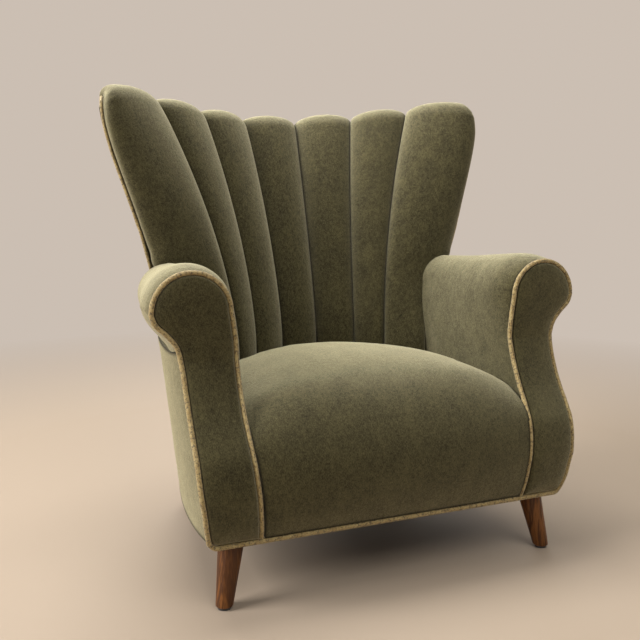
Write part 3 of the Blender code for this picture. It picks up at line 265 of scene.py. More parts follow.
@dataclass(frozen=True)
class ArmShape:
    """Outline of a rolled arm, with half-widths measured from the middle of the chair."""

    base_z: float = 0.1225
    roll_z: float = 0.510
    roll_x: float = 0.366
    roll_r: float = 0.065
    foot_in_x: float = 0.276
    foot_out_x: float = 0.359
    neck_in_x: float = 0.293
    neck_out_x: float = 0.380
    front_y: float = -0.305
    bulge: float = 0.092
    facing_t: float = 0.0095
    facing_crown: float = 0.005
    rear_y: float = 0.072
    rear_clear: float = 0.020
    toe_in: float = 0.038
    proud: float = 0.018
    taper: float = 0.007
    pad_t: float = 0.028
    pad_foot_z: float = 0.290
    hook: float = math.radians(-62)
    corner_r: float = 0.009
    panel_t: float = 0.008
    side_bulge: float = 0.026
    rear_corner_x: float = 0.285
    rear_corner_y: float = 0.170
    wing_low_x: float = 0.362
    wing_low_y: float = 0.056
    piping_r: float = 0.0045
    neck_share: float = 0.8        # height of the facing's narrowest part
    bulge_skew: float = 0.75       # below 1, the outside arm swells most ahead of its middle

    FACE: Table = ((0, .82), (.077, .93), (.154, .98), (.218, 1), (.308, .95), (.385, .85), (.46, .66),
                   (.54, .44), (.615, .27), (.69, .13), (.786, 0), (.8, 0), (1, 0))
    OUTER_LOW: Table = ((0, 0), (.08, .33), (.15, .52), (.23, .76), (.38, .95), (.6, .96), (.7, 1),
                        (1, 1))
    OUTER_HIGH: Table = ((0, 0), (.7, 0), (.795, .06), (.86, .2), (.92, .55), (.96, .88), (1, 1))
    INNER_LOW: Table = ((0, 0), (.15, .3), (.3, .65), (.46, .94), (.6, 1), (1, 1))
    INNER_HIGH: Table = ((0, 0), (.8, 0), (.86, .12), (.92, .45), (1, 1))
    PROUD: Table = ((0, .25), (.05, .7), (.15, 1), (.35, .8), (.6, .45), (1, .15))
    CORNER: Table = ((0, 0, 0), (.28, .25, .3), (.56, .52, .58), (.82, .82, .86), (1, 1, 1))

    @property
    def wing_low_z(self) -> float:
        """Height at which the wing's edge clears the arm."""
        return self.roll_z + self.roll_r + self.proud

    def share(self, z: float) -> float:
        """Return the share of the height between the lower edge and the roll's centre."""
        return (z - self.base_z) / (self.roll_z - self.base_z)

    def face_y(self, z: float) -> float:
        """Return the depth of the front surface at a height."""
        return self.front_y - self.bulge * table_curve(self.FACE, clamp(self.share(z)))

    def _edge(self, z: float, side: int, foot: float, neck: float, curves: Sequence[Table]) -> float:
        """Return the facing's outer edge (side 1) or inner edge (-1): foot, neck, then the roll."""
        if z >= self.roll_z:
            return self.roll_x + side * arc(self.roll_r, z - self.roll_z)
        low, high = (table_curve(curve, self.share(z)) for curve in curves)
        return foot + (neck - foot) * low + (self.roll_x + side * self.roll_r - neck) * high

    def side_x(self, z: float) -> float:
        """Return the facing's outer edge as if its lower corner were square."""
        return self._edge(z, 1, self.foot_out_x, self.neck_out_x, (self.OUTER_LOW, self.OUTER_HIGH))

    def outer_x(self, z: float) -> float:
        """Return the facing's outer edge with its rounded lower corner."""
        below = max(self.base_z + self.corner_r - z, 0)
        return self.side_x(z) - self.corner_r + arc(self.corner_r, below)

    def inner_x(self, z: float) -> float:
        """Return the facing's inner edge."""
        return self._edge(z, -1, self.foot_in_x, self.neck_in_x, (self.INNER_LOW, self.INNER_HIGH))

    def corner_heights(self, count: int) -> list[float]:
        """Return heights up the facing's rounded lower corner, its upper end left out."""
        return [self.base_z + self.corner_r * (1 - math.cos(math.pi / 2 * i / count))
                for i in range(count)]

    def radius(self, share: float) -> float:
        """Return the roll's radius at a share of its length."""
        return self.roll_r + self.proud * table_curve(self.PROUD, share) - self.taper * share

    def corner_line(self, z: float) -> Vector:
        """Return the edge between the outside arm and the outside back."""
        return edge_point(self.CORNER, (self.rear_corner_x, self.rear_corner_y, self.base_z),
                          (self.wing_low_x, self.wing_low_y, self.wing_low_z), z)

    def rear_limit(self, x: float, z: float) -> float:
        """Return how far back the arm's cover runs at a half-width and a height."""
        corner = self.corner_line(z)
        if x > corner.x - self.panel_t - self.rear_clear:
            return min(self.rear_y, corner.y - 2 * self.piping_r - GAP)
        return self.rear_y

    def side_panel(self, along: float, z: float) -> Vector:
        """Return a point of the outside arm at a share of its length and a height."""
        neck = mix(self.base_z + self.corner_r, self.roll_z, self.neck_share)
        z_front = clamp(z, self.base_z + self.corner_r, neck)
        front = Vector((self.outer_x(z_front), self.face_y(z) + self.facing_t + GAP, z))
        rear = self.corner_line(z)
        swell = self.side_bulge * math.sin(math.pi * along ** self.bulge_skew)
        return Vector((mix(front.x, rear.x, along) + swell,
                       mix(front.y, rear.y - 2 * self.piping_r, along), z))


@dataclass(frozen=True)
class BackShape:
    """Outline of the fan-shaped back: the wing's edge and three seams of one side."""

    foot_z: float = 0.290
    seam_foot_z: float = 0.380
    top_z: float = 0.920
    valley_z: float = 0.888
    crest_rise: float = 0.017
    edge_z: float = 0.889
    foot_x: float = 0.180
    top_x: float = 0.317
    foot_y: float = 0.128
    top_y: float = 0.338
    foot_depth: float = 0.089
    top_depth: float = 0.141
    seat_rear_x: float = 0.262
    seat_rear_y: float = -0.010
    wing_half: float = 0.442
    wing_y: float = 0.100
    crest_r: float = 0.034
    edge_r: float = 0.022
    crest_turn: float = math.radians(166)
    pad_t: float = 0.020
    edge_t: float = 0.012
    edge_tuck: float = 0.004
    crown: float = 0.25
    wing_crown: float = 0.30
    seam_gap: float = 0.0006
    wing_flare: float = math.radians(32)
    rear_foot_y: float = 0.210
    panel_drop: float = 0.0025
    fan_power: float = 1.75        # how late the seams fan out
    lean_power: float = 1.4        # how late they lean back
    crest_lead: float = math.radians(26)   # lean of the back where its crest starts to turn
    arm: ArmShape = field(default_factory=ArmShape)

    X_FOOT: Sequence[float] = (1, .69, .245)
    X_TOP: Sequence[float] = (1, .618, .22)
    Y_FOOT: Sequence[float] = (1, .47, 0)
    Y_TOP: Sequence[float] = (1, .5, 0)
    RISE: Sequence[float] = (1.4, .5, 0)
    EDGE_LOW: Table = ((0, 0, 0), (.23, 0, 0), (.5, .18, .45), (.7, .34, .73), (.82, .56, .85),
                       (.88, .86, .95), (.92, .96, .985), (1, 1, 1))
    EDGE_HIGH: Table = ((0, 0, 0), (.125, .15, .09), (.29, .33, .18), (.49, .56, .36), (.69, .78, .59),
                        (.88, .95, .82), (1, 1, 1))
    STATIONS: Sequence[float] = (0, .12, .24, .34, .42, .46, .5, .56, .64, .74, .84, .93, 1)
    CROWN: Table = ((0, .8), (.3, .95), (.55, 1), (.66, .94), (.75, .74), (.85, .46), (.93, .2), (1, 0))
    WING_CROWN: Table = ((0, .8), (.3, .82), (.5, .9), (.62, 1), (.7, .98), (.78, .84), (.86, .58),
                         (.93, .27), (1, 0))
    WING_SKEW: Table = ((0, .95), (.4, .86), (.6, .72), (.72, .54), (1, .46))
    WING_FLARE: Table = ((0, .2), (.35, .4), (.55, .95), (.62, 1), (.7, .7), (.8, .3), (1, 0))
    EDGE_TO_REAR: Sequence[float] = (-0.45, 0.89, 0)
    CREST_STEPS: int = 6
    EDGE_STATION: int = 7

    @property
    def turn_at(self) -> int:
        """Number of the station at which the crest starts to turn."""
        return len(self.STATIONS) - 1

    @property
    def last(self) -> int:
        """Number of the last station, at the rear end of the crest's turn."""
        return self.turn_at + self.CREST_STEPS

    def wing_edge(self, z: float) -> Vector:
        """Return the wing's edge: along the arm, then up the outside."""
        arm = self.arm
        turn = (arm.wing_low_x, arm.wing_low_y, arm.wing_low_z)
        if z <= arm.wing_low_z:
            foot = (self.seat_rear_x, self.seat_rear_y, self.foot_z)
            return edge_point(self.EDGE_LOW, foot, turn, z)
        return edge_point(self.EDGE_HIGH, turn, (self.wing_half, self.wing_y, self.edge_z), z)

    def seam(self, k: int, z: float) -> Vector:
        """Return seam k of one side, 0 next to the wing and 2 beside the middle channel."""
        t = portion(z, self.seam_foot_z, self.top_z)
        x = mix(self.foot_x * self.X_FOOT[k], self.top_x * self.X_TOP[k], t ** self.fan_power)
        foot = self.foot_y - self.foot_depth * self.Y_FOOT[k]
        top = self.top_y - self.top_depth * self.Y_TOP[k]
        return Vector((x, mix(foot, top, t ** self.lean_power), z))

    def boundary(self, k: int, z: float) -> Vector:
        """Return line k of one side at a height: 0 the wing's edge, 1 to 3 the seams."""
        return self.wing_edge(z) if k == 0 else self.seam(k - 1, z)

    def crest_start(self, k: int) -> float:
        """Return the height at which line k starts to turn over the crest."""
        if k == 0:
            return self.edge_z
        valley = self.valley_z + self.crest_rise * self.RISE[k - 1]
        return valley - self.crest_r * (1 - math.sin(self.crest_lead))

    def rear_direction(self, k: int) -> Vector:
        """Return the level direction from line k to the rear, at the crest."""
        if k == 0:
            return Vector(self.EDGE_TO_REAR).normalized()
        here = self.boundary(k, self.crest_start(k))
        inward = (self.boundary(k + 1, self.crest_start(k + 1)) if k < 3
                  else Vector((0, here.y, here.z)))
        outward = self.boundary(k - 1, self.crest_start(k - 1))
        chord = (outward - here).normalized() + (here - inward).normalized()
        return Vector((-chord.y, chord.x, 0)).normalized()

    def point(self, line: int, station: float) -> Vector:
        """Return a point of one of the eight lines.

        Args:
            line: 0 is the wing's edge at -X and 7 the one at +X.
            station: 0 at the foot, 12 where the crest starts to turn, 18 at its rear end.

        Returns:
            The point.
        """
        k = line if line < LINES // 2 else EDGES[1] - line
        start = self.crest_start(k)
        if station <= self.turn_at:
            low = min(int(station), self.turn_at - 1)
            share = mix(self.STATIONS[low], self.STATIONS[low + 1], station - low)
            place = self.boundary(k, mix(self.foot_z, start, share))
        else:
            place = self.boundary(k, start)
            along = (place - self.boundary(k, mix(start, self.foot_z, .05))).normalized()
            rear = self.rear_direction(k)
            turn = (rear - along * rear.dot(along)).normalized()
            radius = self.edge_r if k == 0 else self.crest_r
            angle = self.crest_turn * (station - self.turn_at) / self.CREST_STEPS
            place = place + radius * (math.sin(angle) * along + (1 - math.cos(angle)) * turn)
        return Side.LEFT.place(place) if line < LINES // 2 else place

    def normal(self, line: int, station: float) -> Vector:
        """Return the direction to the front at a point of a line."""
        across = self.point(min(line + 1, EDGES[1]), station) - self.point(max(line - 1, 0), station)
        along = self.point(line, min(station + 1, self.last)) - self.point(line, max(station - 1, 0))
        return across.cross(along).normalized()


# Meshes


@dataclass
class SoftForm:
    """Closed padded form between an outer and an inner grid of points."""

    name: str
    outer: Grid
    inner: Grid
    lay: float                 # offset of the nap's pattern, so that no two panels match
    turned: bool = False       # the nap runs along the rows rather than across them
    creases: Sequence[float] = (0, 0, 0, 0)    # reach of the painted shade at first and last column and row

    def build(self) -> bpy.types.Object:
        """Make the mesh with its nap coordinates.

        Returns:
            The new object.
        """
        work = bmesh.new()
        nap = work.verts.layers.float_vector.new("nap")
        # Painted shade: how dark each point of the outer sheet is painted for lying in a seam
        fold = work.verts.layers.float.new("crease")
        rows, columns = len(self.outer), len(self.outer[0])
        naps, painted_shade_marks = self._nap_grid(), self._crease_grid()
        sheets = []
        for grid in (self.outer, self.inner):
            sheet = []
            for i, line in enumerate(grid):
                verts = []
                for j, place in enumerate(line):
                    vert = work.verts.new(place + SETBACK)
                    under = (place - self.outer[i][j]).length
                    vert[nap] = naps[i][j] + Vector((0, under, 0))
                    vert[fold] = painted_shade_marks[i][j] if grid is self.outer else 0.0
                    verts.append(vert)
                sheet.append(verts)
            sheets.append(sheet)
        top, low = sheets
        for i in range(rows - 1):
            for j in range(columns - 1):
                work.faces.new((top[i][j], top[i + 1][j], top[i + 1][j + 1], top[i][j + 1]))
                work.faces.new((low[i][j + 1], low[i + 1][j + 1], low[i + 1][j], low[i][j]))
        for i in range(rows - 1):
            work.faces.new((top[i + 1][0], top[i][0], low[i][0], low[i + 1][0]))
            work.faces.new((top[i][-1], top[i + 1][-1], low[i + 1][-1], low[i][-1]))
        for j in range(columns - 1):
            work.faces.new((top[0][j], top[0][j + 1], low[0][j + 1], low[0][j]))
            work.faces.new((top[-1][j + 1], top[-1][j], low[-1][j], low[-1][j + 1]))
        bmesh.ops.recalc_face_normals(work, faces=work.faces)
        if work.calc_volume(signed=True) < 0:
            bmesh.ops.reverse_faces(work, faces=work.faces)
        return finish_mesh(self.name, work, sharp=math.radians(58))

    def _crease_grid(self) -> list[list[float]]:
        """Mark how much painted shade each point gets for lying in a seam: 1 in it, 0 beyond its reach.
        """
        across = [distances(line) for line in self.outer]
        down = [distances(line) for line in zip(*self.outer)]
        marks = []
        for i, row in enumerate(across):
            line = []
            for j, along in enumerate(row):
                away = (along, row[-1] - along, down[j][i], down[j][-1] - down[j][i])
                line.append(max((1 - clamp(a / reach)) ** 2 if reach else 0.0
                                for a, reach in zip(away, self.creases)))
            marks.append(line)
        return marks

    def _nap_grid(self) -> Grid:
        """Measure the cloth both ways, so that its pattern keeps its true size."""
        middle = len(self.outer[0]) // 2
        naps, down = [], 0.0
        for i, line in enumerate(self.outer):
            if i:
                down += (line[middle] - self.outer[i - 1][middle]).length
            row = distances(line)
            spot = [(v - row[middle] + self.lay, down) for v in row]
            naps.append([Vector((b, a, self.lay)) if self.turned else Vector((a, b, self.lay))
                         for a, b in spot])
        return naps


def finish_mesh(name: str, work: bmesh.types.BMesh, sharp: float) -> bpy.types.Object:
    """Turn a bmesh into a smooth-shaded object.

    Args:
        name: Name of the object.
        work: Mesh to use up.
        sharp: Angle above which an edge stays sharp.

    Returns:
        The new object, linked to the scene.
    """
    mesh = bpy.data.meshes.new(name)
    work.to_mesh(mesh)
    work.free()
    mesh.shade_smooth()
    mesh.set_sharp_from_angle(angle=sharp)
    made = bpy.data.objects.new(name, mesh)
    bpy.context.scene.collection.objects.link(made)
    return made


@dataclass
class Cord:
    """Piping: a fabric tube round a filler, swept along a course."""

    name: str
    course: Sequence[Vector]
    radius: float
    seed: float                # moves its lumps, so that no two cords match
    sides: int = 14
    step: float = 0.003
    lumps: float = 0.035       # how uneven it is, for its radius

    def build(self) -> bpy.types.Object:
        """Make the tube, its slight lumps and its nap coordinates.

        Returns:
            The new object.
        """
        points = self._even()
        work = bmesh.new()
        nap = work.verts.layers.float_vector.new("nap")
        rings, frame = [], None
        for i, here in enumerate(points):
            ahead = (points[min(i + 1, len(points) - 1)] - points[max(i - 1, 0)]).normalized()
            if frame is None:
                frame = ahead.orthogonal().normalized()
            frame = (frame - ahead * frame.dot(ahead)).normalized()
            other = ahead.cross(frame)
            ring = []
            for k in range(self.sides):
                angle = 2 * math.pi * k / self.sides
                swell = 1 + self.lumps * math.sin(i * 0.83 + self.seed) * math.sin(i * 0.31 + 2 * angle)
                place = here + self.radius * swell * (math.cos(angle) * frame + math.sin(angle) * other)
                vert = work.verts.new(place + SETBACK)
                vert[nap] = Vector((math.cos(angle) * self.radius, i * self.step,
                                    math.sin(angle) * self.radius + self.seed))
                ring.append(vert)
            rings.append(ring)
        for low, high in zip(rings, rings[1:]):
            for k in range(self.sides):
                after = (k + 1) % self.sides
                work.faces.new((low[k], low[after], high[after], high[k]))
        work.faces.new(rings[0][::-1])
        work.faces.new(rings[-1])
        bmesh.ops.recalc_face_normals(work, faces=work.faces)
        return finish_mesh(self.name, work, sharp=math.radians(70))

    def _even(self) -> list[Vector]:
        """Walk the course in even steps."""
        line = refine(self.course, 6)
        lengths = distances(line)
        count = max(int(lengths[-1] / self.step), 2)
        points, k = [], 0
        for i in range(count + 1):
            want = lengths[-1] * i / count
            while k < len(line) - 2 and lengths[k + 1] < want:
                k += 1
            span = max(lengths[k + 1] - lengths[k], 1e-9)
            points.append(line[k].lerp(line[k + 1], clamp((want - lengths[k]) / span)))
        return points


@dataclass
class Swelling:
    """Cloth simulation that lets a padded form swell a little between its seams."""

    pressure: float
    limit: float
    frames: int = 16
    stiffness: float = 12.0

    def apply(self, made: bpy.types.Object, free: set[int]) -> None:
        """Simulate a form and keep the swell, no further than the limit.

        Args:
            made: The form.
            free: Numbers of the vertices that may move.
        """
        held = made.vertex_groups.new(name="held")
        held.add([v.index for v in made.data.vertices if v.index not in free], 1.0, "REPLACE")
        cloth = made.modifiers.new("swell", "CLOTH")
        settings = cloth.settings
        settings.quality = 4
        settings.mass = 0.4
        settings.tension_stiffness = settings.compression_stiffness = self.stiffness
        settings.shear_stiffness = self.stiffness / 2
        settings.bending_stiffness = 2.0
        settings.use_pressure = True
        settings.uniform_pressure_force = self.pressure
        settings.vertex_group_mass = held.name
        settings.effector_weights.gravity = 0.0
        cloth.collision_settings.use_collision = False
        cloth.collision_settings.use_self_collision = False
        cloth.point_cache.frame_start, cloth.point_cache.frame_end = 1, self.frames
        scene = bpy.context.scene
        for frame in range(1, self.frames + 1):
            scene.frame_set(frame)
        graph = bpy.context.evaluated_depsgraph_get()
        swollen = made.evaluated_get(graph)
        places = [v.co.copy() for v in swollen.data.vertices]
        made.modifiers.remove(cloth)
        made.vertex_groups.clear()
        for vert, place in zip(made.data.vertices, places):
            move = place - vert.co
            if move.length > self.limit:
                move *= self.limit / move.length
            vert.co += move
        scene.frame_set(1)


# Finishes


class NodeBench:
    """Small helper that places and links shader nodes."""

    def __init__(self, tree: bpy.types.NodeTree) -> None:
        """Work on one node tree."""
        self.tree = tree

    def feed(self, node: Node, inputs: dict) -> Node:
        """Link or set inputs of a node.

        Args:
            node: The node.
            inputs: Socket names or numbers with a value or another node's output.

        Returns:
            The node.
        """
        for name, value in inputs.items():
            if isinstance(value, Socket):
                self.tree.links.new(value, node.inputs[name])
            else:
                node.inputs[name].default_value = value
        return node

    def add(self, kind: str, inputs: dict | None = None, **values) -> Node:
        """Place a node.

        Args:
            kind: Type of the node, without its ShaderNode prefix.
            inputs: As for feed.
            **values: Properties of the node.

        Returns:
            The node.
        """
        node = self.tree.nodes.new("ShaderNode" + kind)
        for name, value in values.items():
            setattr(node, name, value)
        return self.feed(node, inputs or {})

    def math(self, operation: str, a, b=0.0) -> Socket:
        """Place a math node and return its output."""
        return self.add("Math", {0: a, 1: b}, operation=operation).outputs[0]

    def times(self, a, b) -> Socket:
        """Multiply two values."""
        return self.math("MULTIPLY", a, b)

    def plus(self, a, b) -> Socket:
        """Add two values."""
        return self.math("ADD", a, b)

    def stretch(self, vector, scale: tuple[float, float, float]) -> Socket:
        """Scale a vector and return it."""
        return self.add("VectorMath", {0: vector, 1: scale}, operation="MULTIPLY").outputs[0]

    def noise(self, vector, scale: float, detail: float = 2.0,
              rough: float = 0.5) -> Socket:
        """Place a noise texture and return its value."""
        return self.add("TexNoise", {"Vector": vector, "Scale": scale, "Detail": detail,
                                     "Roughness": rough}).outputs[0]

    def spread(self, value, low: float, high: float, to_low: float = 0.0,
               to_high: float = 1.0) -> Socket:
        """Stretch a value from one range to another and return it."""
        return self.add("MapRange", {"Value": value, "From Min": low, "From Max": high, "To Min": to_low,
                                     "To Max": to_high}, clamp=True).outputs[0]

    def blend(self, share, a, b) -> Socket:
        """Mix two colours and return the result."""
        node = self.add("Mix", data_type="RGBA")
        return self.feed(node, {0: share, 6: a, 7: b}).outputs[2]


def make_group(name: str, inputs: dict[str, float | None], outputs: Sequence[str],
               fill: Callable[[NodeBench, Node], dict[str, Socket]]
               ) -> bpy.types.NodeTree:
    """Build a shader node group once.

    Args:
        name: Name of the group.
        inputs: Input names; None makes a vector, a number makes a value with that default.
        outputs: Names of the output values.
        fill: Places the nodes and returns the socket for each output.

    Returns:
        The group.
    """
    found = bpy.data.node_groups.get(name)
    if found:
        return found
    tree = bpy.data.node_groups.new(name, "ShaderNodeTree")
    for label, value in inputs.items():
        kind = "NodeSocketVector" if value is None else "NodeSocketFloat"
        socket = tree.interface.new_socket(label, in_out="INPUT", socket_type=kind)
        if value is not None:
            socket.default_value = value
    for label in outputs:
        tree.interface.new_socket(label, in_out="OUTPUT", socket_type="NodeSocketFloat")
    bench = NodeBench(tree)
    entry = tree.nodes.new("NodeGroupInput")
    leave = tree.nodes.new("NodeGroupOutput")
    for label, socket in fill(bench, entry).items():
        tree.links.new(socket, leave.inputs[label])
    return tree


def nap_group() -> bpy.types.NodeTree:
    """Return the group for brushed pile: soft clouds, long streaks and the fine pile itself."""

    def fill(bench: NodeBench, entry: Node) -> dict[str, Socket]:
        place = entry.outputs["Place"]

        def drawn(share: float, scale: float, detail: float, rough: float) -> Socket:
            """Return noise that is drawn out along the pile."""
            return bench.noise(bench.stretch(place, (1, share, 1)), scale, detail, rough)

        def part(value: Socket, amount: str) -> Socket:
            """Return a noise about zero, as strong as an input says."""
            return bench.times(bench.math("SUBTRACT", value, .5), entry.outputs[amount])

        cloud, streak, hair = drawn(.6, 32, 4, .6), drawn(.62, 165, 4, .68), drawn(.45, 640, 3, .65)
        lay = bench.plus(bench.plus(part(cloud, "Clouds"), part(streak, "Streaks")),
                         bench.plus(part(hair, "Hairs"), .5))
        tufts = bench.plus(bench.times(hair, .5), bench.times(streak, 1.2))
        pile = bench.plus(bench.times(bench.noise(place, 1300, 2, .6), .35), tufts)
        return {"Lay": lay, "Pile": pile, "Cloud": cloud}

    return make_group("brushed_nap", {"Place": None, "Clouds": 1.0, "Streaks": 1.0, "Hairs": .6},
                      ("Lay", "Pile", "Cloud"), fill)


def weave_group() -> bpy.types.NodeTree:
    """Return the group for a plain weave: how high its threads lie, and their slubs."""

    def fill(bench: NodeBench, entry: Node) -> dict[str, Socket]:
        place = bench.add("VectorMath", {0: entry.outputs["Place"], "Scale": entry.outputs["Threads"]},
                          operation="SCALE").outputs[0]
        axes = bench.add("SeparateXYZ", {0: place})
        wobble = bench.times(bench.math("SUBTRACT", bench.noise(place, .35, 2), .5), .8)
        x, y = (bench.plus(axes.outputs[k], wobble) for k in (0, 1))
        warp, weft = (bench.math("ABSOLUTE", bench.math("SINE", bench.times(v, math.pi)))
                      for v in (x, y))
        over = bench.math("MODULO", bench.plus(bench.math("FLOOR", x), bench.math("FLOOR", y)), 2)
        over = bench.math("GREATER_THAN", bench.math("ABSOLUTE", over), .5)
        high = bench.add("Mix", {0: over, 2: warp, 3: weft}, data_type="FLOAT").outputs[0]
        slub = bench.noise(bench.stretch(place, (1, .08, 1)), .9, 2)
        return {"Height": high, "Slub": slub}

    return make_group("plain_weave", {"Place": None, "Threads": 800.0}, ("Height", "Slub"), fill)


def grain_group() -> bpy.types.NodeTree:
    """Return the group for wood: growth bands, fine pores and handling wear."""

    def fill(bench: NodeBench, entry: Node) -> dict[str, Socket]:
        place = bench.stretch(entry.outputs["Place"], (1, 1, .07))
        rings = bench.plus(bench.noise(place, 60, 3, .6), bench.times(bench.noise(place, 22, 2), .6))
        band = bench.spread(bench.math("SINE", bench.times(rings, entry.outputs["Bands"])), -1, 1)
        pores = bench.spread(bench.noise(place, 900, 2, .7), .52, .72)
        wear = bench.spread(bench.noise(entry.outputs["Place"], 35, 3, .6), .45, .75)
        return {"Band": band, "Pores": pores, "Wear": wear}

    return make_group("wood_grain", {"Place": None, "Bands": 26.0}, ("Band", "Pores", "Wear"), fill)


class Finish:
    """Something that can dress an object in one material."""

    slot: Slot
    name: str

    def shade(self, bench: NodeBench, bsdf: Node) -> None:
        """Place the finish's nodes in front of its shader."""
        raise NotImplementedError

    def material(self) -> bpy.types.Material:
        """Return the material, built the first time it is asked for."""
        found = bpy.data.materials.get(self.name)
        if found:
            return found
        made = bpy.data.materials.new(self.name)
        made.use_nodes = True
        bsdf = made.node_tree.nodes["Principled BSDF"]
        self.shade(NodeBench(made.node_tree), bsdf)
        return made

    def dress(self, *objects: bpy.types.Object) -> None:
        """Put the material on objects in place of what they have."""
        for made in objects:
            made.data.materials.clear()
            made.data.materials.append(self.material())


def bump(bench: NodeBench, bsdf: Node, height, distance: float, strength: float) -> None:
    """Feed a height to a shader's normal."""
    node = bench.add("Bump", {"Height": height, "Distance": distance, "Strength": strength})
    bench.feed(bsdf, {"Normal": node.outputs[0]})


def nap_place(bench: NodeBench) -> Socket:
    """Return the cloth's own coordinates."""
    return bench.add("Attribute", attribute_name="nap").outputs["Vector"]


def object_place(bench: NodeBench) -> Socket:
    """Return the object's own coordinates."""
    return bench.add("TexCoord").outputs["Object"]


def darker(colour: tuple, share: float) -> tuple:
    """Return a colour with its light scaled by a share."""
    return tuple(c * share for c in colour[:3]) + (1,)


@dataclass(frozen=True)
class VelvetFinish(Finish):
    """Olive mohair velvet, dark where its pile is seen end on, with a painted pale sheen at grazing
    angles and painted shade along its seams.
    """

    slot: Slot = Slot.VELVET
    name: str = "olive_mohair_velvet"
    dark: tuple = (0.018, 0.0150, 0.0060, 1)
    light: tuple = (0.090, 0.077, 0.033, 1)
    # Painted sheen: pale colours that the velvet's colour turns to at grazing angles
    painted_sheen_low: tuple = (0.265, 0.238, 0.136, 1)
    painted_sheen_high: tuple = (0.53, 0.48, 0.295, 1)
    # Painted shade: the dark colour painted into the seams
    fold: tuple = (0.004, 0.0034, 0.0015, 1)
    bloom: tuple = (0.74, 0.69, 0.58, 1)
    clouds: float = 0.55
    streaks: float = 1.0
    hairs: float = 1.6
    painted_sheen_power: float = 1.75    # how narrow the painted sheen at grazing angles is
    # how strong the painted sheen at grazing angles gets
    painted_sheen_share: float = 0.85
    painted_shade_share: float = 0.93   # how dark the painted shade in a seam gets
    rough: tuple = (0.78, 0.95)

    def shade(self, bench: NodeBench, bsdf: Node) -> None:
        """Mottle the colour with the pile's lay, paint a pale sheen into it at grazing angles and shade
        along its seams, and let the sheen lobe bloom at its edges.
        """
        nap = bench.add("Group", {"Place": nap_place(bench), "Clouds": self.clouds,
                                  "Streaks": self.streaks, "Hairs": self.hairs}, node_tree=nap_group())
        lay = bench.spread(nap.outputs["Lay"], .15, .85)
        # Painted sheen: the colour turns pale where the surface is seen at a grazing angle
        facing = bench.add("LayerWeight", {"Blend": .5}).outputs["Facing"]
        crease = bench.add("Attribute", attribute_name="crease").outputs["Fac"]
        rim = bench.times(bench.math("POWER", facing, self.painted_sheen_power), self.painted_sheen_share)
        tone = bench.blend(rim, bench.blend(lay, self.dark, self.light),
                           bench.blend(lay, self.painted_sheen_low, self.painted_sheen_high))
        # Painted shade: the colour darkens along the seams
        tone = bench.blend(bench.times(crease, self.painted_shade_share), tone, self.fold)
        bench.feed(bsdf, {"Base Color": tone, "Specular IOR Level": 0.12, "Sheen Weight": 0.22,
                          "Sheen Roughness": 0.4, "Sheen Tint": self.bloom,
                          "Roughness": bench.spread(nap.outputs["Cloud"], .2, .8, *self.rough)})
        bump(bench, bsdf, nap.outputs["Pile"], 0.0022, 0.6)


@dataclass(frozen=True)
class CordFinish(Finish):
    """Ochre woven cord with irregular brown flecks."""

    slot: Slot = Slot.PIPING
    name: str = "ochre_flecked_cord"
    gold: tuple = (0.29, 0.196, 0.062, 1)
    pale: tuple = (0.44, 0.335, 0.138, 1)
    brown: tuple = (0.055, 0.034, 0.013, 1)
    threads: float = 900.0
    rough: tuple = (0.8, 0.55)

    def shade(self, bench: NodeBench, bsdf: Node) -> None:
        """Weave the cord and scatter its flecks."""
        place = nap_place(bench)
        weave = bench.add("Group", {"Place": place, "Threads": self.threads}, node_tree=weave_group())
        tone = bench.blend(bench.spread(bench.noise(place, 150, 3, .6), .35, .65), self.gold, self.pale)
        flecks = bench.spread(bench.noise(bench.stretch(place, (1, .8, 1)), 260, 3, .65), .5, .62)
        tone = bench.blend(bench.times(flecks, .8), tone, self.brown)
        bench.feed(bsdf, {"Base Color": tone, "Sheen Weight": 0.2, "Sheen Roughness": 0.5,
                          "Roughness": bench.spread(weave.outputs["Height"], 0, 1, *self.rough)})
        bump(bench, bsdf, bench.plus(weave.outputs["Height"], bench.times(flecks, -.6)), 0.0004, 0.8)


@dataclass(frozen=True)
class WoodFinish(Finish):
    """Wood with growth bands, pores and a little wear."""

    slot: Slot = Slot.WALNUT
    name: str = "dark_walnut_satin"
    early: tuple = (0.165, 0.060, 0.013, 1)
    late: tuple = (0.058, 0.019, 0.0040, 1)
    rough: tuple = (0.38, 0.55)
    coat: float = 0.05
    bands: float = 26.0

    def shade(self, bench: NodeBench, bsdf: Node) -> None:
        """Band the colour and open the pores."""
        grain = bench.add("Group", {"Place": object_place(bench), "Bands": self.bands},
                          node_tree=grain_group())
        tone = bench.blend(grain.outputs["Band"], self.early, self.late)
        tone = bench.blend(bench.times(grain.outputs["Pores"], .6), tone, self.late)
        bench.feed(bsdf, {"Base Color": tone, "Specular IOR Level": 0.25, "Coat Weight": self.coat,
                          "Coat Roughness": 0.22,
                          "Roughness": bench.spread(grain.outputs["Wear"], 0, 1, *self.rough)})
        bump(bench, bsdf, bench.times(grain.outputs["Pores"], -1), 0.0002, 0.5)


@dataclass(frozen=True)
class WovenFinish(Finish):
    """Plain woven cloth such as burlap, lining or wadding."""

    slot: Slot = Slot.BURLAP
    name: str = "jute_burlap"
    warp: tuple = (0.36, 0.26, 0.14, 1)
    weft: tuple = (0.52, 0.41, 0.26, 1)
    threads: float = 480.0
    depth: float = 0.0006
    rough: tuple = (0.82, 0.95)

    def shade(self, bench: NodeBench, bsdf: Node) -> None:
        """Cross the threads, vary them and paint shade where they lie low."""
        weave = bench.add("Group", {"Place": object_place(bench), "Threads": self.threads},
                          node_tree=weave_group())
        tone = bench.blend(weave.outputs["Slub"], self.warp, self.weft)
        # Painted shade: the cloth darkens where its threads lie low
        shade = bench.spread(weave.outputs["Height"], 0, 1, .35, 0)
        tone = bench.blend(shade, tone, darker(self.warp, .4))
        bench.feed(bsdf, {"Base Color": tone,
                          "Roughness": bench.spread(weave.outputs["Slub"], 0, 1, *self.rough)})
        bump(bench, bsdf, weave.outputs["Height"], self.depth, 0.8)


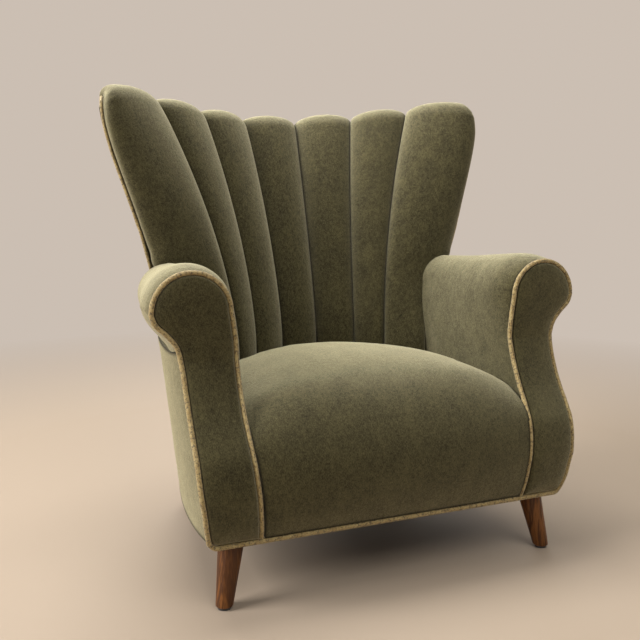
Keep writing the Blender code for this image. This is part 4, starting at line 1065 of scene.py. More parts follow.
@dataclass(frozen=True)
class HardFinish(Finish):
    """Metal or moulded plastic with fine scratches."""

    slot: Slot = Slot.STEEL
    name: str = "oiled_steel"
    colour: tuple = (0.42, 0.42, 0.43, 1)
    stain: tuple = (0.20, 0.18, 0.16, 1)
    metallic: float = 1.0
    rough: tuple = (0.25, 0.5)

    def shade(self, bench: NodeBench, bsdf: Node) -> None:
        """Stain and scratch the surface."""
        place = object_place(bench)
        cloud = bench.spread(bench.noise(place, 60, 4, .6), .35, .7)
        scratch = bench.noise(bench.stretch(place, (1, .06, 1)), 900, 2, .7)
        tone = bench.blend(bench.times(cloud, .5), self.colour, self.stain)
        bench.feed(bsdf, {"Base Color": tone, "Metallic": self.metallic,
                          "Roughness": bench.spread(cloud, 0, 1, *self.rough)})
        bump(bench, bsdf, scratch, 0.0001, 0.3)


VELVET = VelvetFinish()
CORD = CordFinish()
WALNUT = WoodFinish()
BEECH = WoodFinish(Slot.BEECH, "sawn_beech", (0.60, 0.43, 0.26, 1), (0.46, 0.30, 0.17, 1),
                   rough=(0.6, 0.8), coat=0.0, bands=18.0)
BURLAP = WovenFinish()
WADDING = WovenFinish(Slot.STUFFING, "cotton_wadding", (0.66, 0.61, 0.52, 1), (0.78, 0.75, 0.68, 1),
                      threads=900.0, depth=0.0008)
LINING = WovenFinish(Slot.LINING, "black_cambric", (0.018, 0.018, 0.019, 1), (0.035, 0.035, 0.037, 1),
                     threads=1100.0, depth=0.0003)
STEEL = HardFinish()
NYLON = HardFinish(Slot.NYLON, "moulded_nylon", (0.035, 0.035, 0.036, 1), (0.06, 0.06, 0.06, 1),
                   metallic=0.0, rough=(0.4, 0.6))


# Sub-assemblies


@dataclass
class SubAssembly:
    """A group of pieces that is built and dressed together."""

    arm: ArmShape = field(default_factory=ArmShape)
    back: BackShape = field(default_factory=BackShape)
    pieces: list[bpy.types.Object] = field(default_factory=list)

    def build(self) -> None:
        """Build the pieces."""
        raise NotImplementedError

    def keep(self, made: bpy.types.Object, finish: Finish, *nodes: str,
             fill: float | None = None) -> None:
        """Dress a piece, attach it to the frame's body and hide the part's nodes that it replaces.

        Args:
            made: The piece.
            finish: Its finish.
            *nodes: The part's nodes that it replaces.
            fill: How tightly it is stuffed, for a padded piece; not used.
        """
        finish.dress(made)
        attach(made, BODY)
        if nodes:
            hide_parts(*nodes)
        self.pieces.append(made)
        LOG.info("%s: %d vertices", made.name, len(made.data.vertices))

    def upholster(self, node: str, form: SoftForm, fill: float, swelling: Swelling | None = None,
                  margin: Sequence[int] = (0, 0, 0, 0)) -> None:
        """Build a padded piece, let it swell and keep it.

        Args:
            node: The part's node that it replaces.
            form: Its form.
            fill: How tightly it is stuffed.
            swelling: Its swell, where it has one.
            margin: How many rows stay still at its first and last end, and how many columns.
        """
        made = form.build()
        if swelling:
            top, foot, first, last = margin
            columns = len(form.outer[0])
            swelling.apply(made, {i * columns + j for i in range(top, len(form.outer) - foot)
                                  for j in range(first, columns - last)})
        self.keep(made, VELVET, node, fill=fill)

    def walls(self) -> list[BVHTree]:
        """Return the surfaces of the pieces built so far."""
        found = []
        for made in self.pieces:
            verts = [v.co - SETBACK for v in made.data.vertices]
            found.append(BVHTree.FromPolygons(verts, [p.vertices[:] for p in made.data.polygons]))
        return found


@dataclass
class ChannelledBack(SubAssembly):
    """Five stuffed channels between two wings."""

    columns: int = 28
    per_station: int = 5
    tuck_power: int = 5
    wing_power: float = 2.3        # how square a wing's swell is
    seam_crease: float = 0.015     # reach of the painted shade along a seam
    edge_crease: float = 0.003     # the same along a wing's edge
    rear_crease: float = 0.006     # and behind the crest
    lay_step: float = 0.37
    held: Sequence[int] = (3, 14, 2, 2)    # rows at foot and crest, columns at each side, that stay

    NAMES: Sequence[str] = ("wing_channel_left", "back_channel_1", "back_channel_2", "back_channel_3",
                            "back_channel_4", "back_channel_5", "wing_channel_right")

    def grids(self, channel: int) -> tuple[Grid, Grid]:
        """Return the front and the hidden rear surface of a channel, 0 and 6 being the wings."""
        back = self.back
        wing = channel in WINGS
        outer, inner = [], []
        for s in range(back.last * self.per_station + 1):
            station = s / self.per_station
            share = station / back.last
            low, high = back.point(channel, station), back.point(channel + 1, station)
            low_n, high_n = back.normal(channel, station), back.normal(channel + 1, station)
            width = (high - low).length
            trim = back.seam_gap / 2 / width
            crown = width * (back.wing_crown if wing else back.crown)
            crown *= table_curve(back.WING_CROWN if wing else back.CROWN, share)
            if channel == WINGS[0]:
                low_n = self._flare(low_n, low, high, share)
            elif channel == WINGS[1]:
                high_n = self._flare(high_n, high, low, share)
            line, rear = [], []
            for u in bunched(self.columns):
                place = low.lerp(high, mix(trim, 1 - trim, u))
                normal = low_n.lerp(high_n, u).normalized()
                depth = mix(self._stuffing(channel), self._stuffing(channel + 1), u)
                line.append(place + normal * crown * self._profile(u, channel, share))
                rear.append(place - normal * depth + (high - low).normalized() * self._tuck(u, channel))
            outer.append(line)
            inner.append(rear)
        return outer, inner

    def _flare(self, normal: Vector, edge: Vector, seam: Vector, share: float) -> Vector:
        """Turn the direction at a wing's edge outwards, so that the wing swells past its piping."""
        away = (edge - seam).normalized()
        angle = self.back.wing_flare * table_curve(self.back.WING_FLARE, share)
        return (normal * math.cos(angle) + away * math.sin(angle)).normalized()

    def _profile(self, u: float, channel: int, share: float) -> float:
        """Return the swell across a channel, fuller towards the outer edge of a wing."""
        if channel in WINGS:
            outer = (u if channel == WINGS[0] else 1 - u) ** table_curve(self.back.WING_SKEW, share)
            return math.sqrt(max(1 - abs(2 * outer - 1) ** self.wing_power, 0))
        return arc(1, 2 * u - 1)

    def _tuck(self, u: float, channel: int) -> float:
        """Return how far the rear of a wing's edge draws in behind its cord."""
        if channel == WINGS[0]:
            return (1 - u) ** self.tuck_power * self.back.edge_tuck
        return -u ** self.tuck_power * self.back.edge_tuck if channel == WINGS[1] else 0

    def _stuffing(self, line: int) -> float:
        """Return how thick the stuffing is behind a line."""
        return self.back.edge_t if line in EDGES else self.back.pad_t

    def build(self) -> None:
        """Build the channels and let each swell between its seams."""
        for channel, node in enumerate(self.NAMES):
            sides = [self.edge_crease if channel == wing else self.seam_crease for wing in WINGS]
            form = SoftForm(f"velvet_{node}", *self.grids(channel), lay=self.lay_step * channel,
                            creases=(*sides, 0, self.rear_crease))
            self.upholster(node, form, 0.8, Swelling(pressure=3.0, limit=0.003), self.held)


@dataclass
class OutsideBack(SubAssembly):
    """Plain outer panel from wing edge to wing edge."""

    per_line: int = 5              # finer lines for each of the eight
    per_step: int = 4
    foot_steps: int = 5            # points of a side below the top of the arm
    flat_share: float = 0.93       # share of the height below the crest's turn
    behind: float = 7 * GAP        # from the stuffing of a wing's edge to the panel
    foot_round: float = 1.6        # how square the foot's curve is across the chair
    foot_depth: float = 0.8        # and from front to rear
    join_share: float = 0.6        # share of the height above which it follows the channels
    side_lines: int = 8            # lines at each side that stay behind the cord
    side_step: float = 0.0011      # each further in than its neighbour by at least this

    def columns(self) -> Grid:
        """Return its lines, foot to crest, under the rear ends of the eight lines of the front."""
        arm, back = self.arm, self.back
        drop = Vector((0, 0, -back.panel_drop))
        edge = range(back.EDGE_STATION, back.turn_at + 1)
        foot = spaced(arm.base_z, arm.wing_low_z, self.foot_steps)
        heights = foot + [back.point(0, s).z for s in edge]
        shares = [self.flat_share * (z - arm.base_z) / (heights[-1] - arm.base_z) for z in heights]
        shares += [mix(self.flat_share, 1, i / 3) for i in (1, 2, 3)]
        lines = []
        for b in range(LINES):
            side = Side.LEFT if b < LINES // 2 else Side.RIGHT
            end = back.point(b, back.last) + drop
            if b in EDGES:
                line = [side.place(arm.corner_line(z)) for z in foot]
                for s in [*edge, back.turn_at + 2, back.turn_at + 4]:
                    inward = (back.point(abs(b - 1), s) - back.point(b, s)).normalized()
                    share = clamp((s - back.EDGE_STATION) / 2)
                    line.append(back.point(b, s) - back.normal(b, s) * (back.edge_t + self.behind)
                                + inward * back.edge_tuck * share)
                line.append(end)
            else:
                share = abs(end.x) / back.wing_half
                deep = (1 - share ** self.foot_round) ** self.foot_depth
                low = Vector((share * arm.rear_corner_x, mix(arm.rear_corner_y, back.rear_foot_y, deep),
                              arm.base_z))
                line = [side.place(low).lerp(end, t) for t in shares]
            lines.append(line)
        return lines

    def _meet_channels(self, lines: Grid) -> None:
        """Pull the upper edge to the channels' straight rear ends, and the sides behind the cord.

        Args:
            lines: The panel's lines from wing edge to wing edge, moved in place.
        """
        ends = [lines[self.per_line * b][-1].copy() for b in range(LINES)]
        for i, line in enumerate(lines):
            b = min(i // self.per_line, WINGS[1])
            shift = ends[b].lerp(ends[b + 1], i / self.per_line - b) - line[-1]
            beside = min(i, len(lines) - 1 - i)
            edge = lines[0 if i < len(lines) / 2 else -1]
            for k, place in enumerate(line):
                line[k] = place + shift * ease(portion(k / (len(line) - 1), self.join_share, 1))
                limit = abs(edge[k].x) - self.side_step * beside
                if 0 < beside < self.side_lines and abs(line[k].x) > limit:
                    line[k].x = math.copysign(limit, line[k].x)

    def build(self) -> None:
        """Build the panel."""
        lines = refine_grid(self.columns(), self.per_line, self.per_step)
        self._meet_channels(lines)
        normals = grid_normals(lines)
        middle = normals[len(lines) // 2]
        outward = math.copysign(1, middle[len(middle) // 2].y)
        outer, inner = ([[p - n * outward * depth for p, n in zip(line, row)]
                         for line, row in zip(lines, normals)]
                        for depth in (GAP, GAP + self.arm.panel_t / 2))
        form = SoftForm("velvet_outside_back", outer, inner, lay=3.1, turned=True)
        self.upholster("outside_back", form, 0.3)


@dataclass
class RolledArm(SubAssembly):
    """One arm: its cover, its keyhole-shaped facing and its outer panel."""

    side: Side = Side.LEFT
    neighbours: list[BVHTree] = field(default_factory=list)
    wall_rows: int = 26            # rows of the cover up the inside of the arm
    roll_rows: int = 44            # and round the roll
    steps: int = 46                # along the arm
    roll_pad: float = 0.018        # stuffing round the roll
    hem_run: float = 0.62          # share of the length over which the hem draws in to the facing
    hem_swell: float = 0.7
    end_open: float = 0.006        # the roll's rear end closes up to this far from its axis
    end_turn: float = 0.7          # share of the roll from which its end closes level
    edge_round: float = 0.0042     # radius of the facing's edge
    crown_run: float = 0.04        # from the facing's edge to its full crown
    crown_power: float = 2.5
    held: Sequence[int] = (3, 4, 3, 4)     # rows at foot and hem, columns at front and rear, that stay
    outline_side: Sequence[int] = (8, 56)      # steps of its outer edge: round the corner, then up
    facing_rows: Sequence[int] = (5, 64, 26)   # round the corner, up the side and over the roll
    facing_columns: int = 24
    panel_steps: int = 44
    panel_level: float = 0.06      # below the roll's centre, where the panel's depth is read
    panel_gap: float = 1.5 * GAP   # from the roll's hem down to the outer panel
    panel_pad: float = 0.6         # share of the panel's thickness

    END_FOLD: Sequence[float] = (.25, .55, .8, .95, 1)

    def cover_course(self, row: float) -> Callable[[float], tuple[Vector, Vector]]:
        """Return the outer and inner course of a row of the cover, front to rear.

        Args:
            row: 0 to 1 from the foot of the inside to the roll's height, 1 to 2 round the roll.

        Returns:
            A function that gives both points at a share of the arm's length.
        """
        arm = self.arm
        turn = math.pi - arm.hook

        def course(share: float) -> tuple[Vector, Vector]:
            radius = arm.radius(share)
            shift = -arm.toe_in * share
            if row <= 1:
                z = mix(arm.pad_foot_z, arm.roll_z, row)
                x = arm.inner_x(z) + shift - (radius - arm.roll_r) * row ** 3
                inner_x, inner_z = arm.inner_x(z) + arm.pad_t / 2 + shift, z
            else:
                angle = math.pi - turn * (row - 1)
                x = arm.roll_x + shift + radius * math.cos(angle)
                z = arm.roll_z + radius * math.sin(angle)
                thin = radius - self.roll_pad
                inner_x = arm.roll_x + shift + thin * math.cos(angle)
                inner_z = arm.roll_z + thin * math.sin(angle)
                if angle < 0:
                    close = ease(1 - clamp(share / self.hem_run))
                    tuck = (arm.outer_x(z) + (radius - arm.roll_r) * self.hem_swell + shift - x) * close
                    x, inner_x = x + tuck, inner_x + tuck
            y = mix(arm.face_y(z) + arm.facing_t + GAP, arm.rear_limit(x, z), share)
            return self.side.place(Vector((x, y, z))), self.side.place(Vector((inner_x, y, inner_z)))

        return course

    def build_cover(self) -> None:
        """Build the inside of the arm and its roll, trimmed where it meets the wing."""
        outer, inner = [], []
        rows = spaced(0, 1, self.wall_rows) + [1 + i / self.roll_rows for i in range(self.roll_rows + 1)]
        for row in rows:
            course = self.cover_course(row)
            free = trim_share(lambda t: course(t)[0], self.neighbours)
            under = min(free, trim_share(lambda t: course(t)[1], self.neighbours))
            line, rear = ([course(reach * (i / self.steps))[k] for i in range(self.steps + 1)]
                          for k, reach in enumerate((free, under)))
            if row > 1:
                close = self._closing(line[-1], rear[-1], row - 1)
                for k, share in enumerate(self.END_FOLD, len(rear) - len(self.END_FOLD)):
                    rear[k] = rear[k].lerp(Vector((close.x, rear[k].y, close.z)), share)
            outer.append(line)
            inner.append(rear)
        self._pad("arm_cover", (outer, inner), 0.7, Swelling(pressure=2.0, limit=0.003),
                  lay=1.3, creases=(.004, 0, .006, 0))

    def _pad(self, piece: str, sheets: tuple[Grid, Grid], fill: float,
             swelling: Swelling | None = None, **look) -> None:
        """Upholster one of the arm's pieces, with its lay and the reach of its painted seam shade given
        as for a form.
        """
        node = f"{piece}_{self.side.label}"
        look["lay"] += self.side.value
        self.upholster(node, SoftForm(f"velvet_{node}", *sheets, **look), fill, swelling, self.held)

    def _closing(self, rim: Vector, thin: Vector, turn: float) -> Vector:
        """Return where the roll's closed rear end stops, in from its rim and clear of the wing.

        Args:
            rim: Rear end of the roll's outside.
            thin: Rear end of its inside, which is the least that the end covers.
            turn: 0 at the inside of the roll to 1 at its hem.

        Returns:
            The point.
        """
        arm = self.arm
        axis = self.side.place(Vector((arm.roll_x - arm.toe_in, rim.y, arm.roll_z)))
        way = axis - rim
        reach = way.length - self.end_open
        way.z *= 1 - portion(turn, self.end_turn, 1)
        way.normalize()
        for wall in self.neighbours:
            hit = wall.ray_cast(rim, way, reach)
            if hit[0] is not None:
                reach = hit[3] - CLEAR
        return rim + way * max(reach, (thin - rim).length)

    def outline(self) -> list[Vector]:
        """Return the facing's outline as (half-width, height), from inner foot to outer foot."""
        arm = self.arm
        line = [Vector((arm.inner_x(z), z)) for z in spaced(arm.base_z, arm.roll_z, OUTLINE_STEPS)]
        for i in range(OUTLINE_STEPS + 1):
            angle = math.pi - math.pi * i / OUTLINE_STEPS
            line.append(Vector((arm.roll_x + arm.roll_r * math.cos(angle),
                                arm.roll_z + arm.roll_r * math.sin(angle))))
        corner, side = self.outline_side
        outside = arm.corner_heights(corner) + spaced(arm.base_z + arm.corner_r, arm.roll_z, side)
        return line + [Vector((arm.outer_x(z), z)) for z in outside[::-1]]

    def build_facing(self) -> None:
        """Build the facing, its edges rounded back to the piping."""
        arm = self.arm
        outline = self.outline()
        corner, side, roll = self.facing_rows
        heights = arm.corner_heights(corner) + spaced(arm.base_z + arm.corner_r, arm.roll_z, side)
        heights += [arm.roll_z + arm.roll_r * math.sin(math.pi / 2 * i / roll) for i in range(roll)]
        outer, inner = [], []
        for z in heights:
            line, rear = [], []
            for u in bunched(self.facing_columns):
                spot = Vector((mix(arm.inner_x(z), arm.outer_x(z), u), z))
                inset = self._inset(spot, outline)
                drop = self.edge_round - arc(self.edge_round, max(self.edge_round - inset, 0))
                crown = arm.facing_crown * (1 - (1 - clamp(inset / self.crown_run)) ** self.crown_power)
                line.append(self.side.place(Vector((spot.x, arm.face_y(z) - crown + drop, z))))
                rear.append(self.side.place(Vector((spot.x, arm.face_y(z) + arm.facing_t, z))))
            outer.append(line)
            inner.append(rear)
        self._pad("arm_facing", (outer, inner), 0.5, lay=5.2, creases=(.005, .005, .003, .005))

    def _inset(self, spot: Vector, outline: Sequence[Vector]) -> float:
        """Measure how far a spot of the facing lies inside its outline."""
        nearest = spot.y - self.arm.base_z
        for a, b in zip(outline, outline[1:]):
            run = b - a
            t = clamp((spot - a).dot(run) / max(run.length_squared, 1e-12))
            nearest = min(nearest, (spot - a - run * t).length)
        return nearest

    def build_panel(self) -> None:
        """Build the outer panel, from under the roll to the lower edge."""
        arm = self.arm
        pad = Vector((arm.panel_t * self.panel_pad, 0, 0))
        outer, inner = [], []
        for i in range(self.panel_steps + 1):
            along = i / self.panel_steps
            y = arm.side_panel(along, arm.roll_z - self.panel_level).y
            share = portion(y, arm.front_y, arm.rear_y)
            top = arm.roll_z + arm.radius(share) * math.sin(arm.hook) - self.panel_gap
            line = [arm.side_panel(along, mix(arm.base_z, top, k / self.panel_steps))
                    for k in range(self.panel_steps + 1)]
            outer.append([self.side.place(p) for p in line])
            inner.append([self.side.place(p - pad) for p in line])
        self._pad("outside_arm", (outer, inner), 0.3, lay=7.7, turned=True,
                  creases=(.004, .004, .003, 0))

    def build(self) -> None:
        """Build the arm's three pieces."""
        self.build_cover()
        self.build_facing()
        self.build_panel()


@dataclass
class TightSeat(SubAssembly):
    """Crowned seat in one piece with the front border."""

    edge_z: float = 0.352
    crown: float = 0.042
    crown_power: float = 2.9       # how level the crown is across the seat
    front_crown: float = 0.012
    roll_h: float = 0.076
    roll_run: float = 0.108
    roll_pull: Sequence[float] = (.42, .50)    # fullness of the front's roll, below and on top
    corner_drop: float = 0.020
    corner_power: int = 5          # how near the corners that drop stays
    side_gap: float = 0.001
    side_power: float = 0.6        # how soon it widens behind the piping
    probe: float = 0.01            # height over which the front's lean is measured
    tuck: float = 0.004
    pad_t: float = 0.016
    foot_gap: float = 0.001
    front_rows: int = 44
    top_rows: int = 36
    half_columns: int = 30
    held: Sequence[int] = (4, 4, 4, 4)     # rows at front and rear, columns at each side, that stay
    neighbours: list[BVHTree] = field(default_factory=list)

    LIFT: Table = ((0, 0), (.1, .36), (.2, .64), (.35, .91), (.48, 1), (.62, .97), (.75, .83),
                   (.88, .56), (1, .2))
    TURN_ROW: int = 5
    TRIM_ROW: int = 8
    TOP_ROW: int = 9
    REAR_ROW: int = 16
    CORNER_ROWS: Sequence[int] = (7, 6)    # where the corners' drop starts to fade, and over how many

    def half(self, y: float, z: float) -> float:
        """Return the seat's half-width, clear of the piping and the arm's cover."""
        arm = self.arm
        front = arm.face_y(z) + arm.facing_t + GAP
        share = portion(y, front, arm.rear_y)
        beside_arm = arm.inner_x(z) - arm.toe_in * share - self.side_gap
        beside_cord = arm.inner_x(z) - 2 * arm.piping_r - self.side_gap
        return mix(beside_cord, beside_arm, clamp((y - front) / self.roll_run) ** self.side_power)

    def rear_y(self, x: float) -> float:
        """Return the depth of the back's seams at a half-width."""
        edges = [self.back.boundary(k, self.back.foot_z) for k in (3, 2, 1, 0)]
        if abs(x) <= edges[0].x:
            return edges[0].y
        for first, second in zip(edges, edges[1:]):
            if abs(x) <= second.x:
                return mix(first.y, second.y, (abs(x) - first.x) / (second.x - first.x))
        return edges[-1].y

    def point(self, u: float, row: float) -> Vector:
        """Return a point of the cover.

        Args:
            u: -1 to 1 across.
            row: 0 at the front's foot, then up the front and back to the last of the rows above.

        Returns:
            The point.
        """
        arm = self.arm
        roll_z = self.edge_z - self.roll_h
        full = 1 - abs(u) ** self.crown_power
        if row <= self.TURN_ROW:
            v = row / self.TURN_ROW
            z = mix(arm.base_z, roll_z, v)
            y = arm.face_y(z) - self.front_crown * full * math.sin(math.pi / 2 * v)
            return Vector((u * self.half(y, z), y, z))
        turn = portion(row, self.TURN_ROW, self.TOP_ROW)
        top = portion(row, self.TOP_ROW, self.REAR_ROW)
        run = portion(row, self.TURN_ROW, self.REAR_ROW)
        bend = self._bend(u, row, turn)
        first_y = arm.face_y(roll_z) - self.front_crown * full
        y = arm.face_y(roll_z) + bend.x - self.front_crown * full * (1 - run)
        last_y = self.rear_y(u * self.half(y, self.edge_z)) + self.tuck
        y = mix(y, last_y, top)
        rise = table_curve(self.LIFT, portion(y, first_y, last_y))
        return Vector((u * self.half(y, self.edge_z), y, roll_z + bend.y + self.crown * full * rise))

    def _bend(self, u: float, row: float, turn: float) -> Vector:
        """Return how far the front's roll has run back and up, at a share of its turn."""
        arm = self.arm
        roll_z = self.edge_z - self.roll_h
        lean = (arm.face_y(roll_z) - arm.face_y(roll_z - self.probe)) / self.probe
        fade, rows = self.CORNER_ROWS
        corner = self.corner_drop * abs(u) ** self.corner_power
        corner *= 1 - clamp((row - fade) / rows) ** 2
        low, high = self.roll_pull
        end = Vector((self.roll_run, self.roll_h - corner))
        first = Vector((lean, 1)) * (low * self.roll_h)
        second = end - Vector((high * self.roll_run, 0))
        a = 1 - turn
        return first * (3 * a * a * turn) + second * (3 * a * turn ** 2) + end * turn ** 3

    def build(self) -> None:
        """Build the seat, trimmed to the feet of the channels."""
        columns = []
        trim, rear = self.TRIM_ROW, self.REAR_ROW
        for j in range(-self.half_columns, self.half_columns + 1):
            u = math.sin(math.pi / 2 * j / self.half_columns)
            free = trim_share(lambda t: self.point(u, mix(trim, rear, t)), self.neighbours)
            column = [self.point(u, trim * i / self.front_rows) for i in range(self.front_rows)]
            column += [self.point(u, mix(trim, mix(trim, rear, free), i / self.top_rows))
                       for i in range(self.top_rows + 1)]
            columns.append(column)
        outer = [list(line) for line in zip(*columns)]
        normals = grid_normals(outer)
        up = math.copysign(1, normals[len(outer) * 3 // 4][self.half_columns].z)
        inner = [[p - n * up * self.pad_t for p, n in zip(line, row)]
                 for line, row in zip(outer, normals)]
        for line in inner:
            for p in line:
                p.z = max(p.z, self.arm.base_z + self.foot_gap)
        form = SoftForm("velvet_seat", outer, inner, lay=9.4, creases=(.007, .007, .003, .010))
        self.upholster("seat_cover", form, 0.9, Swelling(pressure=3.0, limit=0.005), self.held)


@dataclass
class GoldPiping(SubAssembly):
    """Cords round the facings, along the front's lower edge and up the wings."""

    side_r: float = 0.0031
    base_r: float = 0.0048
    side_gap: float = 0.0003       # more room between a wing's edge and its cord
    corner_steps: int = 12
    base_steps: int = 40
    base_sunk: float = 0.7         # share of its radius that the front's cord lies behind the face
    over_crest: int = 8            # half stations that a wing's cord runs past the crest's start

    FORWARD: Sequence[float] = (-.0006, .0034)    # of the wing's edge, below and on the crest

    def facing_course(self, outline: Sequence[Vector], side: Side) -> list[Vector]:
        """Return the course of a facing's cord."""
        arm = self.arm
        corner = arm.base_z + arm.corner_r
        course = []
        for i, here in enumerate(outline):
            before = (here - outline[i - 1]).normalized() if i else (outline[1] - here).normalized()
            after = (outline[i + 1] - here).normalized() if i < len(outline) - 1 else before
            if i > OUTLINE_STEPS and here.y < corner - 1e-6:
                continue
            if i > OUTLINE_STEPS and here.y < corner + 1e-6:
                after = before
            normal = Vector((-before.y - after.y, before.x + after.x)).normalized()
            spot = here + normal * (arm.piping_r + GAP)
            y = arm.face_y(spot.y) + arm.facing_t - arm.piping_r - GAP
            course.append(side.place(Vector((spot.x, y, spot.y))))
        return course

    def base_course(self) -> list[Vector]:
        """Return the course along the front's lower edge, turned up at both corners."""
        arm = self.arm
        out = arm.corner_r + self.base_r + 2 * GAP
        right = []
        for i in range(self.corner_steps + 1):
            share = i / self.corner_steps
            angle = math.pi / 2 * (1 - share)
            z = arm.base_z + arm.corner_r - out * math.sin(angle)
            x = arm.side_x(max(z, arm.base_z)) - arm.corner_r + out * math.cos(angle)
            x -= (self.base_r - arm.piping_r) * share
            back = mix(self.base_r * self.base_sunk, arm.facing_t - arm.piping_r - GAP, share)
            right.append(Vector((x, arm.face_y(z) + back, z)))
        end = right[0]
        straight = [Vector((x, end.y, end.z)) for x in spaced(-end.x, end.x, self.base_steps)[1:]]
        return [Side.LEFT.place(p) for p in right[::-1]] + straight + right

    def side_course(self, side: Side) -> list[Vector]:
        """Return the course up a rear corner and the wing's edge, over the crest."""
        back = self.back
        reach = self.side_r + 2 * GAP
        panel = OutsideBack(self.arm, back)
        *_, inside, outside = panel.columns()
        points = []
        for edge, within in zip(outside[:panel.foot_steps], inside):
            away = (edge - within).to_2d().normalized().to_3d()
            behind = Vector((-away.y, away.x, 0))
            points.append(edge + away * reach - behind * self.side_r)
        line = EDGES[1]
        for k in range((back.turn_at - back.EDGE_STATION) * 2 + self.over_crest):
            s = back.EDGE_STATION + k / 2
            edge, normal = back.point(line, s), back.normal(line, s)
            away = (edge - back.point(line, s - .5)).cross(normal).normalized()
            away = away if away.dot(edge - back.point(line - 1, s)) > 0 else -away
            forward = mix(*self.FORWARD, clamp((s - back.turn_at + 2) / 3))
            points.append(edge + away * (reach + self.side_gap) + normal * forward)
        return [side.place(p) for p in points]

    def build(self) -> None:
        """Build the five cords."""
        for side in Side:
            outline = RolledArm(self.arm, self.back, side=side).outline()
            self.sew(f"facing_piping_{side.label}", self.facing_course(outline, side),
                     self.arm.piping_r, side.value)
            self.sew(f"side_piping_{side.label}", self.side_course(side), self.side_r, 3 + side.value)
        self.sew("base_piping", self.base_course(), self.base_r, 7)

    def sew(self, node: str, course: Sequence[Vector], radius: float, seed: float) -> None:
        """Build one cord in place of its node."""
        self.keep(Cord(f"gold_{node}", course, radius, seed=seed).build(), CORD, node)


@dataclass
class HiddenFrame(SubAssembly):
    """Legs, beech frame, springs, burlap and lining: the part's own solids, given their finishes."""

    nodes: dict = field(default_factory=dict)

    RULES: Sequence[tuple[str, Finish]] = (
        ("spring", STEEL), ("leg_plate", STEEL), ("glide", NYLON), ("_leg", WALNUT), ("burlap", BURLAP),
        ("seat_core", WADDING), ("dust_cover", LINING), ("rail", BEECH), ("stump", BEECH),
        ("post", BEECH), ("block", BEECH))

    def build(self) -> None:
        """Dress each node that stays by the piece it is."""
        for name, made in self.nodes.items():
            finish = next((finish for word, finish in self.RULES if word in name), None)
            if finish and made.type == "MESH":
                finish.dress(made)
                LOG.info("%s: %s", name, finish.name)


# Stage


@dataclass(frozen=True)
class SoftBox:
    """Square lamp that points at the chair."""

    name: str
    place: tuple
    size: float                # width
    power: float               # watts
    aim: tuple = (0, 0, .5)
    colour: tuple = (1, 1, 1)

    def hang(self) -> None:
        """Hang the lamp."""
        light = bpy.data.lights.new(self.name, "AREA")
        light.shape = "SQUARE"
        light.size = self.size
        light.energy = self.power
        light.color = self.colour
        made = bpy.data.objects.new(self.name, light)
        made.location = self.place
        made.rotation_euler = (Vector(self.aim) - Vector(self.place)).to_track_quat("-Z", "Y").to_euler()
        bpy.context.scene.collection.objects.link(made)


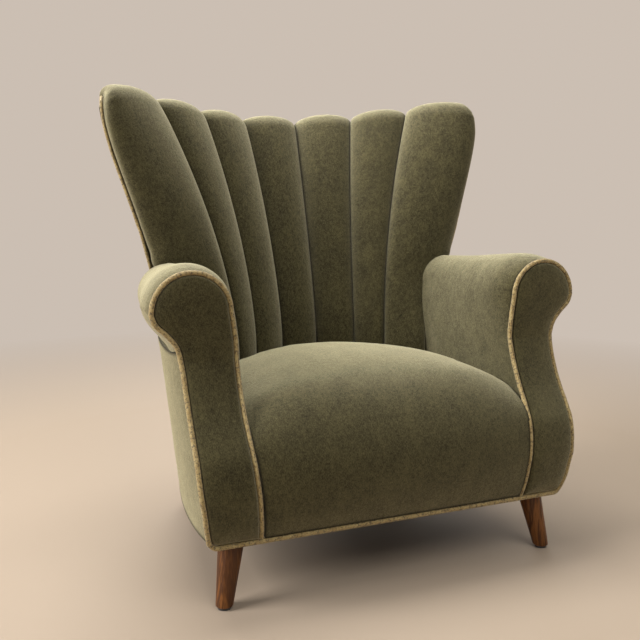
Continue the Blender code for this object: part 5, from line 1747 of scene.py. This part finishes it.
@dataclass
class Studio:
    """Plain pale floor, soft light and the photograph's viewpoint."""

    camera_at: tuple = (-0.7172, -1.6724, 0.7002)
    yaw: float = math.radians(23.08)
    pitch: float = math.radians(8.133)
    sensor: float = 36
    focal: float = 833.4 / 640 * 36        # fitted as 833.4 pixels of a picture 640 pixels wide
    floor_size: float = 60
    floor_colour: tuple = (0.35, 0.278, 0.208, 1)
    air_colour: tuple = (0.60, 0.52, 0.45, 1)
    ambient_colour: tuple = (1.0, 0.97, 0.93, 1)
    ambient: float = 0.20
    fade: Sequence[float] = (1.1, 2.8)     # the floor passes into the air between these distances

    LAMPS: Sequence[SoftBox] = (
        SoftBox("key", (-4.5, 0.1, 2.75), 2.4, 342, colour=(1, .985, .985)),
        SoftBox("fill", (0.4, -2.4, 3.15), 2.2, 58),
        SoftBox("top", (-0.2, 0.7, 2.8), 1.6, 84, aim=(0, -.1, .4), colour=(1, .99, .97)),
        SoftBox("rear", (1.2, 3.0, 2.0), 2.4, 36, aim=(0, 0, .6)))

    def build_floor(self) -> None:
        """Lay the floor."""
        bpy.ops.mesh.primitive_plane_add(size=self.floor_size, location=(0, 0, 0))
        floor = bpy.context.object
        floor.name = "studio_floor"
        made = bpy.data.materials.new("pale_floor")
        made.use_nodes = True
        bench = NodeBench(made.node_tree)
        bsdf = made.node_tree.nodes["Principled BSDF"]
        cloud = bench.spread(bench.noise(object_place(bench), 1.2, 3), .3, .7, .96, 1.0)
        tone = bench.blend(cloud, darker(self.floor_colour, .9), self.floor_colour)
        bench.feed(bsdf, {"Base Color": tone, "Roughness": 0.6, "Specular IOR Level": 0.25})
        self._fade(bench, bsdf)
        floor.data.materials.append(made)

    def _fade(self, bench: NodeBench, bsdf: Node) -> None:
        """Let the floor pass into the air's colour with distance, for the camera alone."""
        away = bench.add("VectorMath", {0: object_place(bench)}, operation="LENGTH").outputs["Value"]
        path = bench.add("LightPath")
        seen = bench.math("MAXIMUM", path.outputs["Is Camera Ray"], path.outputs["Is Glossy Ray"])
        far = bench.times(bench.spread(away, *self.fade), seen)
        air = bench.add("Emission", {0: self.air_colour, 1: 1.0})
        both = bench.add("MixShader", {0: far, 1: bsdf.outputs[0], 2: air.outputs[0]})
        leave = next(n for n in bench.tree.nodes if n.type == "OUTPUT_MATERIAL")
        bench.feed(leave, {"Surface": both.outputs[0]})

    def build_air(self) -> None:
        """Give the world a plain light, and the camera a pale background."""
        world = bpy.data.worlds.new("studio_air")
        world.use_nodes = True
        bpy.context.scene.world = world
        world.node_tree.nodes.clear()
        bench = NodeBench(world.node_tree)
        path = bench.add("LightPath")
        seen = bench.math("MAXIMUM", bench.math("MAXIMUM", path.outputs["Is Camera Ray"],
                                                path.outputs["Is Glossy Ray"]),
                          path.outputs["Is Transmission Ray"])
        ambient = bench.add("Background", {0: self.ambient_colour, 1: self.ambient})
        shown = bench.add("Background", {0: self.air_colour, 1: 1.0})
        both = bench.add("MixShader", {0: seen, 1: ambient.outputs[0], 2: shown.outputs[0]})
        bench.add("OutputWorld", {0: both.outputs[0]})

    def build_camera(self) -> None:
        """Set the camera where the photograph was taken."""
        lens = bpy.data.cameras.new("camera")
        lens.sensor_width = self.sensor
        lens.lens = self.focal
        made = bpy.data.objects.new("camera", lens)
        made.location = self.camera_at
        made.rotation_euler = (math.pi / 2 - self.pitch, 0, -self.yaw)
        bpy.context.scene.collection.objects.link(made)
        bpy.context.scene.camera = made

    def build(self) -> None:
        """Build the studio."""
        self.build_camera()
        self.build_floor()
        self.build_air()
        for lamp in self.LAMPS:
            lamp.hang()
        bpy.context.scene.view_settings.view_transform = "Standard"


def main() -> None:
    """Load the frame, build and dress the chair, and log its pieces."""
    logging.basicConfig(level=logging.INFO, format="%(name)s %(message)s")
    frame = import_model()
    Studio().build()
    back = ChannelledBack()
    back.build()
    walls = back.walls()
    OutsideBack().build()
    TightSeat(neighbours=walls).build()
    for side, wall in ((Side.LEFT, walls[:2]), (Side.RIGHT, walls[-2:])):
        RolledArm(side=side, neighbours=wall).build()
    GoldPiping().build()
    HiddenFrame(nodes=dict(frame["nodes"])).build()


if __name__ == "__main__":
    main()
